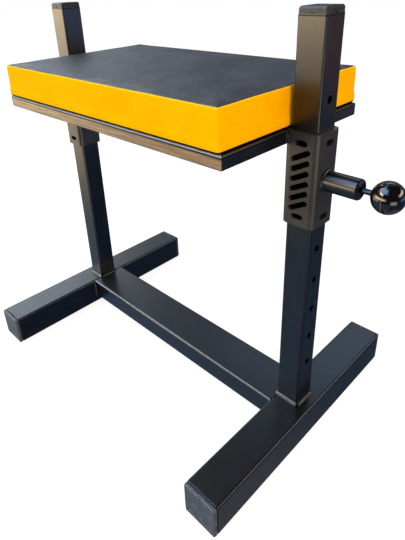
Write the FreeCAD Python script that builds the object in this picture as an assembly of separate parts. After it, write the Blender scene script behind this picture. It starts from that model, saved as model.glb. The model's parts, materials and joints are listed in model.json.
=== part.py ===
# Height-adjustable squat box for strength training.
# A welded floor frame carries two uprights. Two sleeves slide on the uprights and carry a
# bolted, upholstered seat. A spring-loaded pull pin in each sleeve drops into a column of
# holes in the upright's outer face and sets the height.
# Frame: +Z up, +X to the right, -Y to the front, origin on the floor in the middle of the feet.
# All lengths are in millimetres.
import FreeCAD, Part
import math
import os

Vector = FreeCAD.Vector

# Feet and cross beam
TUBE_LEAST_BORE_CORNER = 0.75
FOOT_LENGTH = 490.0
FOOT_WIDTH = 63.5
FOOT_HEIGHT = 63.5
FOOT_WALL = 3.0
FOOT_CORNER = 4.0
BEAM_DEPTH = 87.0
BEAM_HEIGHT = 44.5
BEAM_WALL = 3.0
BEAM_CORNER = 5.0

# Uprights and the holes in their outer faces
UPRIGHT_WIDTH = 42.5
UPRIGHT_WALL = 3.0
UPRIGHT_CORNER = 3.5
UPRIGHT_LENGTH = 640.5
UPRIGHT_SETBACK = 4.5
HOLE_DIAMETER = 11.0
HOLE_PITCH = 56.0
HOLE_COUNT = 9
LOWEST_HOLE_HEIGHT = 88.5
SEAT_HOLE = 6

# Plastic end caps
CAP_INSET = 0.5
CAP_BEVEL = 2.6
CAP_BEVEL_INSET = 2.0
CAP_SKIRT_GAP = 1.2
CAP_SKIRT_WALL = 2.2
CAP_RIB_GAP = 0.15
CAP_RIB_THICKNESS = 1.4
CAP_RIB_COUNT = 3
FOOT_CAP_HEAD = 8.0
FOOT_CAP_SKIRT = 22.0
UPRIGHT_CAP_HEAD = 9.0
UPRIGHT_CAP_SKIRT = 18.0
CAP_NOTCH_RADIUS = 2.4
CAP_NOTCH_DEPTH = 1.4

# Sleeves and the slots cut in them
SLEEVE_GAP = 0.5
SLEEVE_WALL = 5.5
SLEEVE_CORNER = 10.0
SLEEVE_LENGTH = 140.0
SLEEVE_LET_IN = 4.0
SLOT_LENGTH = 18.5
SLOT_WIDTH = 8.5
SLOT_END_DISTANCE = 15.0
LOUVRE_LENGTH = 33.0
LOUVRE_WIDTH = 8.0
LOUVRE_PITCH = 15.0
LOUVRE_COUNT = 6
LOUVRE_ANGLE = 28.0

# Seat frame
FRAME_LENGTH = 545.0
FRAME_DEPTH = 322.0
RAIL_WIDTH = 30.0
RAIL_HEIGHT = 21.0
RAIL_WALL = 2.0
RAIL_CORNER = 3.0
SLAT_SPACING = 280.0
SLAT_WIDTH = 30.0
BOLT_SPACING = 180.0

# Pad
PAD_END_GAP = 2.5
PAD_OVERHANG = 2.5
PAD_SIDE_HEIGHT = 54.5
PAD_CORNER = 5.0
PAD_LEAST_CORNER = 2.0
PAD_DRAW_BOTTOM = 3.5
PAD_DRAW_SEAM = 1.0
PAD_ROLL_WIDTH = 7.0
PAD_ROLL_HEIGHT = 2.2
PAD_CROWN = 4.0
COVER_THICKNESS = 1.2
COVER_GAP = 0.3
HEM_WIDTH = 28.0
BOARD_THICKNESS = 15.0
BOARD_GAP = 1.6

# Pad fasteners
BOLT_DIAMETER = 7.8
BOLT_LENGTH = 35.0
BOLT_HEAD_WIDTH = 13.0
BOLT_HEAD_HEIGHT = 5.3
BOLT_HOLE_DIAMETER = 9.0
WASHER_DIAMETER = 20.0
WASHER_BORE = 8.4
WASHER_THICKNESS = 1.6
TEE_NUT_FLANGE_DIAMETER = 19.0
TEE_NUT_FLANGE_THICKNESS = 1.5
TEE_NUT_BARREL_DIAMETER = 10.0
TEE_NUT_LENGTH = 11.0
TEE_NUT_BORE = 8.0
TEE_NUT_GAP = 0.2

# Pull pins
BARREL_DIAMETER = 30.0
BARREL_BORE = 18.5
BARREL_LENGTH = 52.0
BARREL_RIM = 3.0
BARREL_RIM_STEP = 1.0
BUSH_LENGTH = 8.0
BUSH_RECESS = 2.0
BUSH_GAP = 0.05
ROD_DIAMETER = 8.0
ROD_GAP = 0.3
TIP_DIAMETER = 10.0
TIP_CHAMFER = 1.5
TIP_CLEARANCE = 1.0
GUIDE_HOLE_DIAMETER = 10.8
COLLAR_DIAMETER = 17.0
COLLAR_THICKNESS = 4.0
COLLAR_CLEARANCE = 0.5
PIN_TRAVEL = 14.0
KNOB_DIAMETER = 44.0
KNOB_DISTANCE = 88.0
KNOB_FLAT = 16.0
KNOB_THREAD_DEPTH = 18.0
SPRING_WIRE = 1.4
SPRING_DIAMETER = 15.0
SPRING_TURNS = 5
SPRING_WIRE_SIDES = 6
SPRING_SAMPLES = 200
SPRING_SEAT_GAP = 0.15

# Weld beads
UPRIGHT_BEAD = 5.0
BEAM_BEAD = 4.0
BARREL_BEAD = 2.5
SLEEVE_BEAD_WIDTH = 8.0
SLEEVE_BEAD_BULGE = 0.8
BEAD_LIP = 0.6
SLEEVE_BEAD_MARGIN = 2.0
SLEEVE_BEAD_WRAP = 30.0

# Every cutting tool reaches this far past the face it cuts
OVERRUN = 2.0

# Places worked out from the sizes above
SLEEVE_BORE = UPRIGHT_WIDTH + 2 * SLEEVE_GAP
SLEEVE_WIDTH = SLEEVE_BORE + 2 * SLEEVE_WALL
SLEEVE_INNER_X = FRAME_LENGTH / 2 - SLEEVE_LET_IN
UPRIGHT_X = SLEEVE_INNER_X + SLEEVE_WIDTH / 2
UPRIGHT_OUTER_X = UPRIGHT_X + UPRIGHT_WIDTH / 2
SLEEVE_OUTER_X = UPRIGHT_X + SLEEVE_WIDTH / 2
FOOT_INNER_X = UPRIGHT_X - UPRIGHT_WIDTH / 2
FOOT_X = FOOT_INNER_X + FOOT_WIDTH / 2
UPRIGHT_TOP_Z = FOOT_HEIGHT + UPRIGHT_LENGTH
LOWEST_HOLE_Z = FOOT_HEIGHT + LOWEST_HOLE_HEIGHT
PIN_Z = LOWEST_HOLE_Z + SEAT_HOLE * HOLE_PITCH
SLEEVE_BOTTOM_Z = PIN_Z - SLEEVE_LENGTH / 2
FRAME_TOP_Z = PIN_Z + SLEEVE_LENGTH / 2
FRAME_BOTTOM_Z = FRAME_TOP_Z - RAIL_HEIGHT
BOARD_BOTTOM_Z = FRAME_TOP_Z + COVER_THICKNESS
BOARD_TOP_Z = BOARD_BOTTOM_Z + BOARD_THICKNESS
PAD_LENGTH = FRAME_LENGTH - 2 * PAD_END_GAP
PAD_DEPTH = FRAME_DEPTH + 2 * PAD_OVERHANG
SEAM_Z = FRAME_TOP_Z + PAD_SIDE_HEIGHT
BARREL_END_X = SLEEVE_OUTER_X + BARREL_LENGTH
KNOB_X = SLEEVE_OUTER_X + KNOB_DISTANCE

# Shares of the pad's side height, from the hem up to the seam, and at each of them the shares
# of the draw at the hem and of the draw at the seam
SIDE_HEIGHT_SHARES = (0.0, 0.02, 0.08, 0.75, 1.0)
HEM_DRAW_SHARES = (1.0, 0.45, 0.0, 0.0, 0.0)
SEAM_DRAW_SHARES = (0.0, 0.0, 0.0, 0.15, 1.0)
# Shares of the rolled edge's width, and of the pad's half depth, that the crown steps in by
ROLL_SHARES = (0.0, 0.15, 0.45, 1.0)
CROWN_SHARES = (0.16, 0.35, 0.58, 0.85)


def slab_outline(half_x, half_y, corner, z):
    """Return a rectangle with rounded corners as a wire at height z, centred on the Z axis."""
    edges = []
    flat_x = half_x - corner
    flat_y = half_y - corner
    centres = ((flat_x, flat_y), (-flat_x, flat_y), (-flat_x, -flat_y), (flat_x, -flat_y))
    arcs = []
    for quarter, (centre_x, centre_y) in enumerate(centres):
        points = []
        for step in range(3):
            angle = math.radians(90 * quarter + 45 * step)
            point_x = centre_x + corner * math.cos(angle)
            point_y = centre_y + corner * math.sin(angle)
            points.append(Vector(point_x, point_y, z))
        arcs.append(points)
    for quarter, points in enumerate(arcs):
        edges.append(Part.Arc(*points).toShape())
        following = arcs[(quarter + 1) % len(arcs)]
        edges.append(Part.LineSegment(points[-1], following[0]).toShape())
    return Part.Wire(edges)


def slab(size_x, size_y, corner, bottom_z, height):
    """Return an upright block with rounded vertical edges."""
    outline = slab_outline(size_x / 2, size_y / 2, corner, bottom_z)
    return Part.Face(outline).extrude(Vector(0, 0, height))


def tube(size_x, size_y, wall, corner, length):
    """Return a rectangular tube that stands on the XY plane."""
    outside = slab(size_x, size_y, corner, 0, length)
    bore_corner = max(corner - wall, TUBE_LEAST_BORE_CORNER)
    inside = slab(size_x - 2 * wall, size_y - 2 * wall, bore_corner, -OVERRUN, length + 2 * OVERRUN)
    return outside.cut(inside)


def laid_along_x(shape):
    """Turn a shape that stands on the XY plane so that its length runs along +X."""
    return shape.rotated(Vector(), Vector(0, 1, 0), 90)


def laid_along_y(shape):
    """Turn a shape that stands on the XY plane so that its length runs along +Y."""
    return shape.rotated(Vector(), Vector(1, 0, 0), -90)


def moved(shape, x, y, z):
    """Return the shape moved by x, y and z."""
    return shape.translated(Vector(x, y, z))


def on_side(shape, side):
    """Return a shape built for the right side, or its mirror image for the left side."""
    if side > 0:
        return shape
    return shape.mirror(Vector(), Vector(1, 0, 0))


def rod_along_x(diameter, start_x, end_x, y, z):
    """Return a cylinder along X between two places."""
    return Part.makeCylinder(diameter / 2, end_x - start_x, Vector(start_x, y, z), Vector(1, 0, 0))


def rod_along_z(diameter, x, y, bottom_z, top_z):
    """Return a cylinder along Z between two heights."""
    return Part.makeCylinder(diameter / 2, top_z - bottom_z, Vector(x, y, bottom_z))


def obround(length, width, depth):
    """Return a slot-shaped cutter: its length along X, its depth along +Y, centred on the origin."""
    half_flat = (length - width) / 2
    radius = width / 2
    right = [Vector(half_flat, 0, -radius), Vector(half_flat + radius, 0, 0), Vector(half_flat, 0, radius)]
    left = [Vector(-half_flat, 0, radius), Vector(-half_flat - radius, 0, 0), Vector(-half_flat, 0, -radius)]
    edges = [Part.Arc(*right).toShape()]
    edges.append(Part.LineSegment(right[-1], left[0]).toShape())
    edges.append(Part.Arc(*left).toShape())
    edges.append(Part.LineSegment(left[-1], right[0]).toShape())
    return Part.Face(Part.Wire(edges)).extrude(Vector(0, depth, 0))


def foot():
    """Square tube along Y that stands on the floor."""
    beam = laid_along_y(tube(FOOT_WIDTH, FOOT_HEIGHT, FOOT_WALL, FOOT_CORNER, FOOT_LENGTH))
    return moved(beam, FOOT_X, -FOOT_LENGTH / 2, FOOT_HEIGHT / 2)


def cross_beam():
    """Wide rectangular tube between the feet, its top level with theirs."""
    beam = laid_along_x(tube(BEAM_HEIGHT, BEAM_DEPTH, BEAM_WALL, BEAM_CORNER, 2 * FOOT_INNER_X))
    return moved(beam, -FOOT_INNER_X, UPRIGHT_SETBACK, FOOT_HEIGHT - BEAM_HEIGHT / 2)


def upright():
    """Square tube with a column of pin holes through its outer wall."""
    post = moved(tube(UPRIGHT_WIDTH, UPRIGHT_WIDTH, UPRIGHT_WALL, UPRIGHT_CORNER, UPRIGHT_LENGTH),
                 UPRIGHT_X, UPRIGHT_SETBACK, FOOT_HEIGHT)
    inside_x = UPRIGHT_OUTER_X - UPRIGHT_WALL - OVERRUN
    for index in range(HOLE_COUNT):
        hole_z = LOWEST_HOLE_Z + index * HOLE_PITCH
        hole = rod_along_x(HOLE_DIAMETER, inside_x, UPRIGHT_OUTER_X + OVERRUN, UPRIGHT_SETBACK, hole_z)
        post = post.cut(hole)
    return post


def cut_corner_block(width, corner, bottom_z, height):
    """Return a square block with its upright edges cut off straight."""
    half = width / 2
    flat = half - corner
    points = [Vector(half, -flat, bottom_z), Vector(half, flat, bottom_z)]
    outline = []
    for quarter in range(4):
        for point in points:
            outline.append(FreeCAD.Rotation(Vector(0, 0, 1), 90 * quarter).multVec(point))
    return Part.Face(Part.makePolygon(outline + outline[:1])).extrude(Vector(0, 0, height))


def end_cap(width, wall, corner, head, skirt):
    """Ribbed plastic plug for a square tube that ends at z = 0, with its head above."""
    half = width / 2 - CAP_INSET
    head_corner = corner - CAP_INSET
    top_half = half - CAP_BEVEL_INSET
    top_corner = head_corner - CAP_BEVEL_INSET
    sides = slab_outline(half, half, head_corner, 0)
    shoulder = slab_outline(half, half, head_corner, head - CAP_BEVEL)
    face = slab_outline(top_half, top_half, top_corner, head)
    block = Part.makeLoft([sides, shoulder, face], True, True)
    bore = width - 2 * wall
    skirt_width = bore - 2 * CAP_SKIRT_GAP
    collar = cut_corner_block(skirt_width, corner / 2, -skirt, skirt)
    rib_width = bore - 2 * CAP_RIB_GAP
    rib_pitch = skirt / (CAP_RIB_COUNT + 1)
    for index in range(CAP_RIB_COUNT):
        rib_z = -(index + 1) * rib_pitch - CAP_RIB_THICKNESS / 2
        collar = collar.fuse(cut_corner_block(rib_width, corner / 2, rib_z, CAP_RIB_THICKNESS))
    hollow_width = skirt_width - 2 * CAP_SKIRT_WALL
    hollow = cut_corner_block(hollow_width, corner / 2, -skirt - OVERRUN, skirt + OVERRUN)
    return block.fuse(collar.cut(hollow)).removeSplitter()


def foot_cap(end):
    """End cap of a foot: end is -1 at the front and 1 at the back."""
    plug = end_cap(FOOT_WIDTH, FOOT_WALL, FOOT_CORNER, FOOT_CAP_HEAD, FOOT_CAP_SKIRT)
    plug = plug.rotated(Vector(), Vector(1, 0, 0), -90 * end)
    return moved(plug, FOOT_X, end * FOOT_LENGTH / 2, FOOT_HEIGHT / 2)


def upright_cap():
    """End cap of an upright, with a pry notch in the lower edge of each side of its head."""
    plug = end_cap(UPRIGHT_WIDTH, UPRIGHT_WALL, UPRIGHT_CORNER, UPRIGHT_CAP_HEAD, UPRIGHT_CAP_SKIRT)
    side_y = UPRIGHT_WIDTH / 2 - CAP_INSET - CAP_NOTCH_DEPTH
    for quarter in range(4):
        reach = CAP_NOTCH_DEPTH + OVERRUN
        notch = Part.makeCylinder(CAP_NOTCH_RADIUS, reach, Vector(0, side_y, 0), Vector(0, 1, 0))
        plug = plug.cut(notch.rotated(Vector(), Vector(0, 0, 1), 90 * quarter))
    return moved(plug, UPRIGHT_X, UPRIGHT_SETBACK, UPRIGHT_TOP_Z)


def bead_ring(size_x, size_y, corner, bead):
    """Fillet bead round a rounded rectangle that stands on the XY plane."""
    lip = min(BEAD_LIP, bead / 2)
    foot_line = slab_outline(size_x / 2 + bead, size_y / 2 + bead, corner + bead, 0)
    top_line = slab_outline(size_x / 2 + lip, size_y / 2 + lip, corner + lip, bead)
    skirt = Part.makeLoft([foot_line, top_line], True, True)
    return skirt.cut(slab(size_x, size_y, corner, -OVERRUN, bead + 2 * OVERRUN))


def upright_weld():
    """Bead round the foot of an upright, on the foot tube and the cross beam."""
    ring = bead_ring(UPRIGHT_WIDTH, UPRIGHT_WIDTH, UPRIGHT_CORNER, UPRIGHT_BEAD)
    return moved(ring, UPRIGHT_X, UPRIGHT_SETBACK, FOOT_HEIGHT)


def beam_weld():
    """Bead round the end of the cross beam, and the filled groove over the foot's round edge."""
    ring = bead_ring(BEAM_HEIGHT, BEAM_DEPTH, BEAM_CORNER, BEAM_BEAD)
    ring = ring.rotated(Vector(), Vector(0, 1, 0), -90)
    ring = moved(ring, FOOT_INNER_X, UPRIGHT_SETBACK, FOOT_HEIGHT - BEAM_HEIGHT / 2)
    groove_z = FOOT_HEIGHT - FOOT_CORNER
    above = Part.makeBox(2 * FOOT_WIDTH, 2 * BEAM_DEPTH, FOOT_HEIGHT,
                         Vector(FOOT_INNER_X - FOOT_WIDTH, UPRIGHT_SETBACK - BEAM_DEPTH, groove_z))
    ring = ring.cut(above)
    groove_depth = BEAM_DEPTH - 2 * BEAM_CORNER
    groove = Part.makeBox(FOOT_CORNER, groove_depth, FOOT_CORNER,
                          Vector(FOOT_INNER_X, UPRIGHT_SETBACK - groove_depth / 2, groove_z))
    edge = Part.makeCylinder(FOOT_CORNER, groove_depth + 2 * OVERRUN,
                             Vector(FOOT_INNER_X + FOOT_CORNER,
                                    UPRIGHT_SETBACK - groove_depth / 2 - OVERRUN, groove_z),
                             Vector(0, 1, 0))
    return Part.makeCompound([ring.Solids[0], groove.cut(edge).Solids[0]])


def sleeve():
    """Square tube that slides on the upright, with slots in its front, back and outer faces."""
    body = tube(SLEEVE_WIDTH, SLEEVE_WIDTH, SLEEVE_WALL, SLEEVE_CORNER, SLEEVE_LENGTH)
    reach = SLEEVE_WALL + 2 * OVERRUN
    face = -SLEEVE_WIDTH / 2 - OVERRUN
    end_slot = moved(obround(SLOT_LENGTH, SLOT_WIDTH, reach), 0, face, 0)
    for slot_z in (SLOT_END_DISTANCE, SLEEVE_LENGTH - SLOT_END_DISTANCE):
        front_slot = moved(end_slot, 0, 0, slot_z)
        for angle in (0, 90, 180):
            body = body.cut(front_slot.rotated(Vector(), Vector(0, 0, 1), angle))
    louvre = obround(LOUVRE_LENGTH, LOUVRE_WIDTH, reach).rotated(Vector(), Vector(0, 1, 0), -LOUVRE_ANGLE)
    first_z = SLEEVE_LENGTH / 2 - (LOUVRE_COUNT - 1) * LOUVRE_PITCH / 2
    for index in range(LOUVRE_COUNT):
        body = body.cut(moved(louvre, 0, face, first_z + index * LOUVRE_PITCH))
    guide = rod_along_x(GUIDE_HOLE_DIAMETER, SLEEVE_WIDTH / 2 - reach, SLEEVE_WIDTH / 2 + OVERRUN,
                        0, SLEEVE_LENGTH / 2)
    body = body.cut(guide)
    return moved(body, UPRIGHT_X, UPRIGHT_SETBACK, SLEEVE_BOTTOM_Z)


def sleeve_weld():
    """Two upright beads that fill the groove between the sleeve's round edges and the rail."""
    face_x = FRAME_LENGTH / 2
    centre_x = SLEEVE_INNER_X + SLEEVE_CORNER
    centre_y = SLEEVE_WIDTH / 2 - SLEEVE_CORNER
    first_angle = math.acos((face_x - centre_x) / SLEEVE_CORNER)
    arc_points = []
    for share in (0.0, 0.5, 1.0):
        angle = first_angle - math.radians(SLEEVE_BEAD_WRAP * share)
        point_x = centre_x + SLEEVE_CORNER * math.cos(angle)
        point_y = centre_y + SLEEVE_CORNER * math.sin(angle)
        arc_points.append(Vector(point_x, point_y, 0))
    toe = Vector(face_x, SLEEVE_WIDTH / 2 + SLEEVE_BEAD_WIDTH, 0)
    chord = toe - arc_points[-1]
    outward = Vector(chord.y, -chord.x, 0).normalize()
    crest = (toe + arc_points[-1]) * 0.5 + outward * SLEEVE_BEAD_BULGE
    edges = [Part.Arc(*arc_points).toShape()]
    edges.append(Part.Arc(arc_points[-1], crest, toe).toShape())
    edges.append(Part.LineSegment(toe, arc_points[0]).toShape())
    height = RAIL_HEIGHT - 2 * SLEEVE_BEAD_MARGIN
    bead = Part.Face(Part.Wire(edges)).extrude(Vector(0, 0, height))
    back = moved(bead, 0, UPRIGHT_SETBACK, FRAME_BOTTOM_Z + SLEEVE_BEAD_MARGIN)
    front = back.mirror(Vector(0, UPRIGHT_SETBACK, 0), Vector(0, 1, 0))
    return Part.makeCompound([front, back])


def barrel_weld():
    """Cone-shaped bead round the foot of the pin barrel."""
    lip = min(BEAD_LIP, BARREL_BEAD / 2)
    cone = Part.makeCone(BARREL_DIAMETER / 2 + BARREL_BEAD, BARREL_DIAMETER / 2 + lip, BARREL_BEAD,
                         Vector(SLEEVE_OUTER_X, UPRIGHT_SETBACK, PIN_Z), Vector(1, 0, 0))
    return cone.cut(rod_along_x(BARREL_DIAMETER, SLEEVE_OUTER_X - OVERRUN,
                                SLEEVE_OUTER_X + BARREL_BEAD + OVERRUN, UPRIGHT_SETBACK, PIN_Z))


def mitred(straight, corners):
    """Keep the part of a straight rail that stands over a four-cornered plan."""
    points = [Vector(x, y, FRAME_BOTTOM_Z - OVERRUN) for x, y in corners]
    plan = Part.Face(Part.makePolygon(points + points[:1]))
    return straight.common(plan.extrude(Vector(0, 0, RAIL_HEIGHT + 2 * OVERRUN)))


def long_rail(end):
    """Front (end -1) or back (end 1) rail of the seat frame, with mitred ends."""
    straight = laid_along_x(tube(RAIL_HEIGHT, RAIL_WIDTH, RAIL_WALL, RAIL_CORNER, FRAME_LENGTH))
    outer_y = UPRIGHT_SETBACK + end * FRAME_DEPTH / 2
    inner_y = outer_y - end * RAIL_WIDTH
    straight = moved(straight, -FRAME_LENGTH / 2, (outer_y + inner_y) / 2, FRAME_TOP_Z - RAIL_HEIGHT / 2)
    outer_x = FRAME_LENGTH / 2
    inner_x = outer_x - RAIL_WIDTH
    corners = ((-outer_x, outer_y), (outer_x, outer_y), (inner_x, inner_y), (-inner_x, inner_y))
    return mitred(straight, corners)


def side_rail():
    """Right rail of the seat frame, with mitred ends and a notch that the sleeve is let into."""
    straight = laid_along_y(tube(RAIL_WIDTH, RAIL_HEIGHT, RAIL_WALL, RAIL_CORNER, FRAME_DEPTH))
    outer_x = FRAME_LENGTH / 2
    inner_x = outer_x - RAIL_WIDTH
    front_y = UPRIGHT_SETBACK - FRAME_DEPTH / 2
    back_y = UPRIGHT_SETBACK + FRAME_DEPTH / 2
    straight = moved(straight, (outer_x + inner_x) / 2, front_y, FRAME_TOP_Z - RAIL_HEIGHT / 2)
    corners = ((outer_x, front_y), (outer_x, back_y),
               (inner_x, back_y - RAIL_WIDTH), (inner_x, front_y + RAIL_WIDTH))
    notch = slab(SLEEVE_WIDTH, SLEEVE_WIDTH, SLEEVE_CORNER, FRAME_BOTTOM_Z - OVERRUN,
                 RAIL_HEIGHT + 2 * OVERRUN)
    return mitred(straight, corners).cut(moved(notch, UPRIGHT_X, UPRIGHT_SETBACK, 0))


def bolt_places():
    """Return the plan places of the pad's bolts."""
    places = []
    for side in (-1, 1):
        for end in (-1, 1):
            places.append((side * SLAT_SPACING / 2, UPRIGHT_SETBACK + end * BOLT_SPACING / 2))
    return places


def seat_slat():
    """Right slat across the seat frame that the pad is bolted to."""
    length = FRAME_DEPTH - 2 * RAIL_WIDTH
    slat = laid_along_y(tube(SLAT_WIDTH, RAIL_HEIGHT, RAIL_WALL, RAIL_CORNER, length))
    slat = moved(slat, SLAT_SPACING / 2, UPRIGHT_SETBACK - length / 2, FRAME_TOP_Z - RAIL_HEIGHT / 2)
    for x, y in bolt_places():
        hole = rod_along_z(BOLT_HOLE_DIAMETER, x, y, FRAME_BOTTOM_Z - OVERRUN, FRAME_TOP_Z + OVERRUN)
        slat = slat.cut(hole)
    return slat


def pad_outline(inset, z):
    """Return the pad's outline at height z, drawn in by inset on every side."""
    corner = max(PAD_CORNER - inset, PAD_LEAST_CORNER)
    outline = slab_outline(PAD_LENGTH / 2 - inset, PAD_DEPTH / 2 - inset, corner, z)
    return outline.translated(Vector(0, UPRIGHT_SETBACK, 0))


def pad_side(skin):
    """Return the pad up to its seam, its sides drawn in at hem and seam, all of it inside a skin."""
    outlines = []
    for height_share, hem_share, seam_share in zip(SIDE_HEIGHT_SHARES, HEM_DRAW_SHARES, SEAM_DRAW_SHARES):
        draw = PAD_DRAW_BOTTOM * hem_share + PAD_DRAW_SEAM * seam_share
        outlines.append(pad_outline(skin + draw, FRAME_TOP_Z + PAD_SIDE_HEIGHT * height_share))
    return Part.makeLoft(outlines, True, True)


def crown_height(inset):
    """Return how far the pad's top stands above its seam at a distance in from the edge."""
    roll_share = min(inset / PAD_ROLL_WIDTH, 1.0)
    crown_share = inset / (PAD_DEPTH / 2)
    roll = PAD_ROLL_HEIGHT * (1 - (1 - roll_share) ** 2)
    return roll + PAD_CROWN * (1 - (1 - crown_share) ** 2)


def pad_crown(skin):
    """Return the rolled and crowned top of the pad above its seam, all of it inside a skin."""
    insets = [PAD_ROLL_WIDTH * share for share in ROLL_SHARES]
    insets += [PAD_DEPTH / 2 * share for share in CROWN_SHARES]
    outlines = []
    for inset in insets:
        outlines.append(pad_outline(PAD_DRAW_SEAM + skin + inset, SEAM_Z + crown_height(inset)))
    return moved(Part.makeLoft(outlines, True, True), 0, 0, -skin)


def below_seam(shape):
    """Keep the part of a shape that lies under the pad's seam."""
    block = Part.makeBox(2 * PAD_LENGTH, 2 * PAD_DEPTH, 2 * PAD_SIDE_HEIGHT,
                         Vector(-PAD_LENGTH, UPRIGHT_SETBACK - PAD_DEPTH, SEAM_Z))
    return shape.cut(block)


def above_level(shape, level):
    """Keep the part of a shape that lies above a level."""
    block = Part.makeBox(2 * PAD_LENGTH, 2 * PAD_DEPTH, 2 * PAD_SIDE_HEIGHT,
                         Vector(-PAD_LENGTH, UPRIGHT_SETBACK - PAD_DEPTH, level - 2 * PAD_SIDE_HEIGHT))
    return shape.cut(block)


def seat_top_cover():
    """Vinyl top panel of the pad, a crowned skin down to the seam."""
    return above_level(pad_crown(0).cut(pad_crown(COVER_THICKNESS)), SEAM_Z)


def seat_side_cover():
    """Vinyl side band of the pad, folded under the board as a hem."""
    band = pad_side(0)
    band = band.cut(above_level(pad_side(COVER_THICKNESS), BOARD_BOTTOM_Z))
    opening_x = PAD_LENGTH - 2 * HEM_WIDTH
    opening_y = PAD_DEPTH - 2 * HEM_WIDTH
    opening = slab(opening_x, opening_y, PAD_CORNER, FRAME_TOP_Z - OVERRUN, COVER_THICKNESS + 2 * OVERRUN)
    return band.cut(moved(opening, 0, UPRIGHT_SETBACK, 0))


def seat_board():
    """Plywood board of the pad with its four tee-nut holes."""
    inset = 2 * (COVER_THICKNESS + PAD_DRAW_BOTTOM + BOARD_GAP)
    board = slab(PAD_LENGTH - inset, PAD_DEPTH - inset, PAD_CORNER / 2, BOARD_BOTTOM_Z, BOARD_THICKNESS)
    board = moved(board, 0, UPRIGHT_SETBACK, 0)
    hole_diameter = TEE_NUT_BARREL_DIAMETER + 2 * TEE_NUT_GAP
    for x, y in bolt_places():
        board = board.cut(rod_along_z(hole_diameter, x, y, BOARD_BOTTOM_Z - OVERRUN, BOARD_TOP_Z + OVERRUN))
    return board


def seat_foam():
    """Foam block of the pad, crowned like its cover, with a pocket over each tee nut."""
    skin = COVER_THICKNESS + COVER_GAP
    foam = above_level(pad_side(skin), BOARD_TOP_Z)
    foam = foam.fuse(above_level(pad_crown(skin), SEAM_Z)).removeSplitter()
    pocket_top_z = BOARD_TOP_Z + TEE_NUT_FLANGE_THICKNESS + TEE_NUT_GAP
    pocket_diameter = TEE_NUT_FLANGE_DIAMETER + 2 * TEE_NUT_GAP
    for x, y in bolt_places():
        foam = foam.cut(rod_along_z(pocket_diameter, x, y, BOARD_TOP_Z - OVERRUN, pocket_top_z))
    return foam


def seat_bolts():
    """Hexagon-head bolts up through the slats into the tee nuts."""
    bolts = []
    head_top_z = FRAME_BOTTOM_Z - WASHER_THICKNESS
    corner_radius = BOLT_HEAD_WIDTH / 2 / math.cos(math.radians(30))
    for x, y in bolt_places():
        points = []
        for corner in range(7):
            angle = math.radians(60 * corner)
            points.append(Vector(x + corner_radius * math.cos(angle), y + corner_radius * math.sin(angle),
                                 head_top_z - BOLT_HEAD_HEIGHT))
        head = Part.Face(Part.makePolygon(points)).extrude(Vector(0, 0, BOLT_HEAD_HEIGHT))
        shank = rod_along_z(BOLT_DIAMETER, x, y, head_top_z - BOLT_HEAD_HEIGHT / 2, head_top_z + BOLT_LENGTH)
        bolts.append(head.fuse(shank).Solids[0])
    return Part.makeCompound(bolts)


def bolt_washers():
    """Flat washers between the bolt heads and the slats."""
    washers = []
    for x, y in bolt_places():
        under_z = FRAME_BOTTOM_Z - WASHER_THICKNESS
        disc = rod_along_z(WASHER_DIAMETER, x, y, under_z, FRAME_BOTTOM_Z)
        bore = rod_along_z(WASHER_BORE, x, y, under_z - OVERRUN, FRAME_BOTTOM_Z + OVERRUN)
        washers.append(disc.cut(bore).Solids[0])
    return Part.makeCompound(washers)


def tee_nuts():
    """Flanged nuts let into the board from above."""
    nuts = []
    for x, y in bolt_places():
        top_z = BOARD_TOP_Z + TEE_NUT_FLANGE_THICKNESS
        end_z = BOARD_TOP_Z - TEE_NUT_LENGTH
        flange = rod_along_z(TEE_NUT_FLANGE_DIAMETER, x, y, BOARD_TOP_Z, top_z)
        collar = rod_along_z(TEE_NUT_BARREL_DIAMETER, x, y, end_z, BOARD_TOP_Z)
        bore = rod_along_z(TEE_NUT_BORE, x, y, end_z - OVERRUN, top_z + OVERRUN)
        nuts.append(flange.fuse(collar).removeSplitter().cut(bore).Solids[0])
    return Part.makeCompound(nuts)


def turned(profile):
    """Return the solid that a profile in the XY plane makes when it is turned about the X axis."""
    section = Part.Face(Part.makePolygon(profile + profile[:1]))
    return section.revolve(Vector(), Vector(1, 0, 0), 360)


def pin_barrel():
    """Round barrel welded to the sleeve, bored for the spring, its rim eased in two steps."""
    radius = BARREL_DIAMETER / 2
    bore = BARREL_BORE / 2
    profile = [Vector(SLEEVE_OUTER_X, bore, 0), Vector(SLEEVE_OUTER_X, radius, 0)]
    profile.append(Vector(BARREL_END_X - BARREL_RIM, radius, 0))
    profile.append(Vector(BARREL_END_X - BARREL_RIM_STEP, radius - BARREL_RIM_STEP, 0))
    profile.append(Vector(BARREL_END_X, radius - BARREL_RIM, 0))
    profile.append(Vector(BARREL_END_X, bore, 0))
    return moved(turned(profile), 0, UPRIGHT_SETBACK, PIN_Z)


def barrel_bush():
    """Plain bush pressed into the barrel's outer end, where it guides the rod."""
    end_x = BARREL_END_X - BUSH_RECESS
    start_x = end_x - BUSH_LENGTH
    ring = rod_along_x(BARREL_BORE - 2 * BUSH_GAP, start_x, end_x, UPRIGHT_SETBACK, PIN_Z)
    bore = rod_along_x(ROD_DIAMETER + 2 * ROD_GAP, start_x - OVERRUN, end_x + OVERRUN, UPRIGHT_SETBACK, PIN_Z)
    return ring.cut(bore)


def collar_inner_x():
    """Return where the plunger's collar starts while the pin is drawn out."""
    return SLEEVE_OUTER_X + COLLAR_CLEARANCE + PIN_TRAVEL


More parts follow.
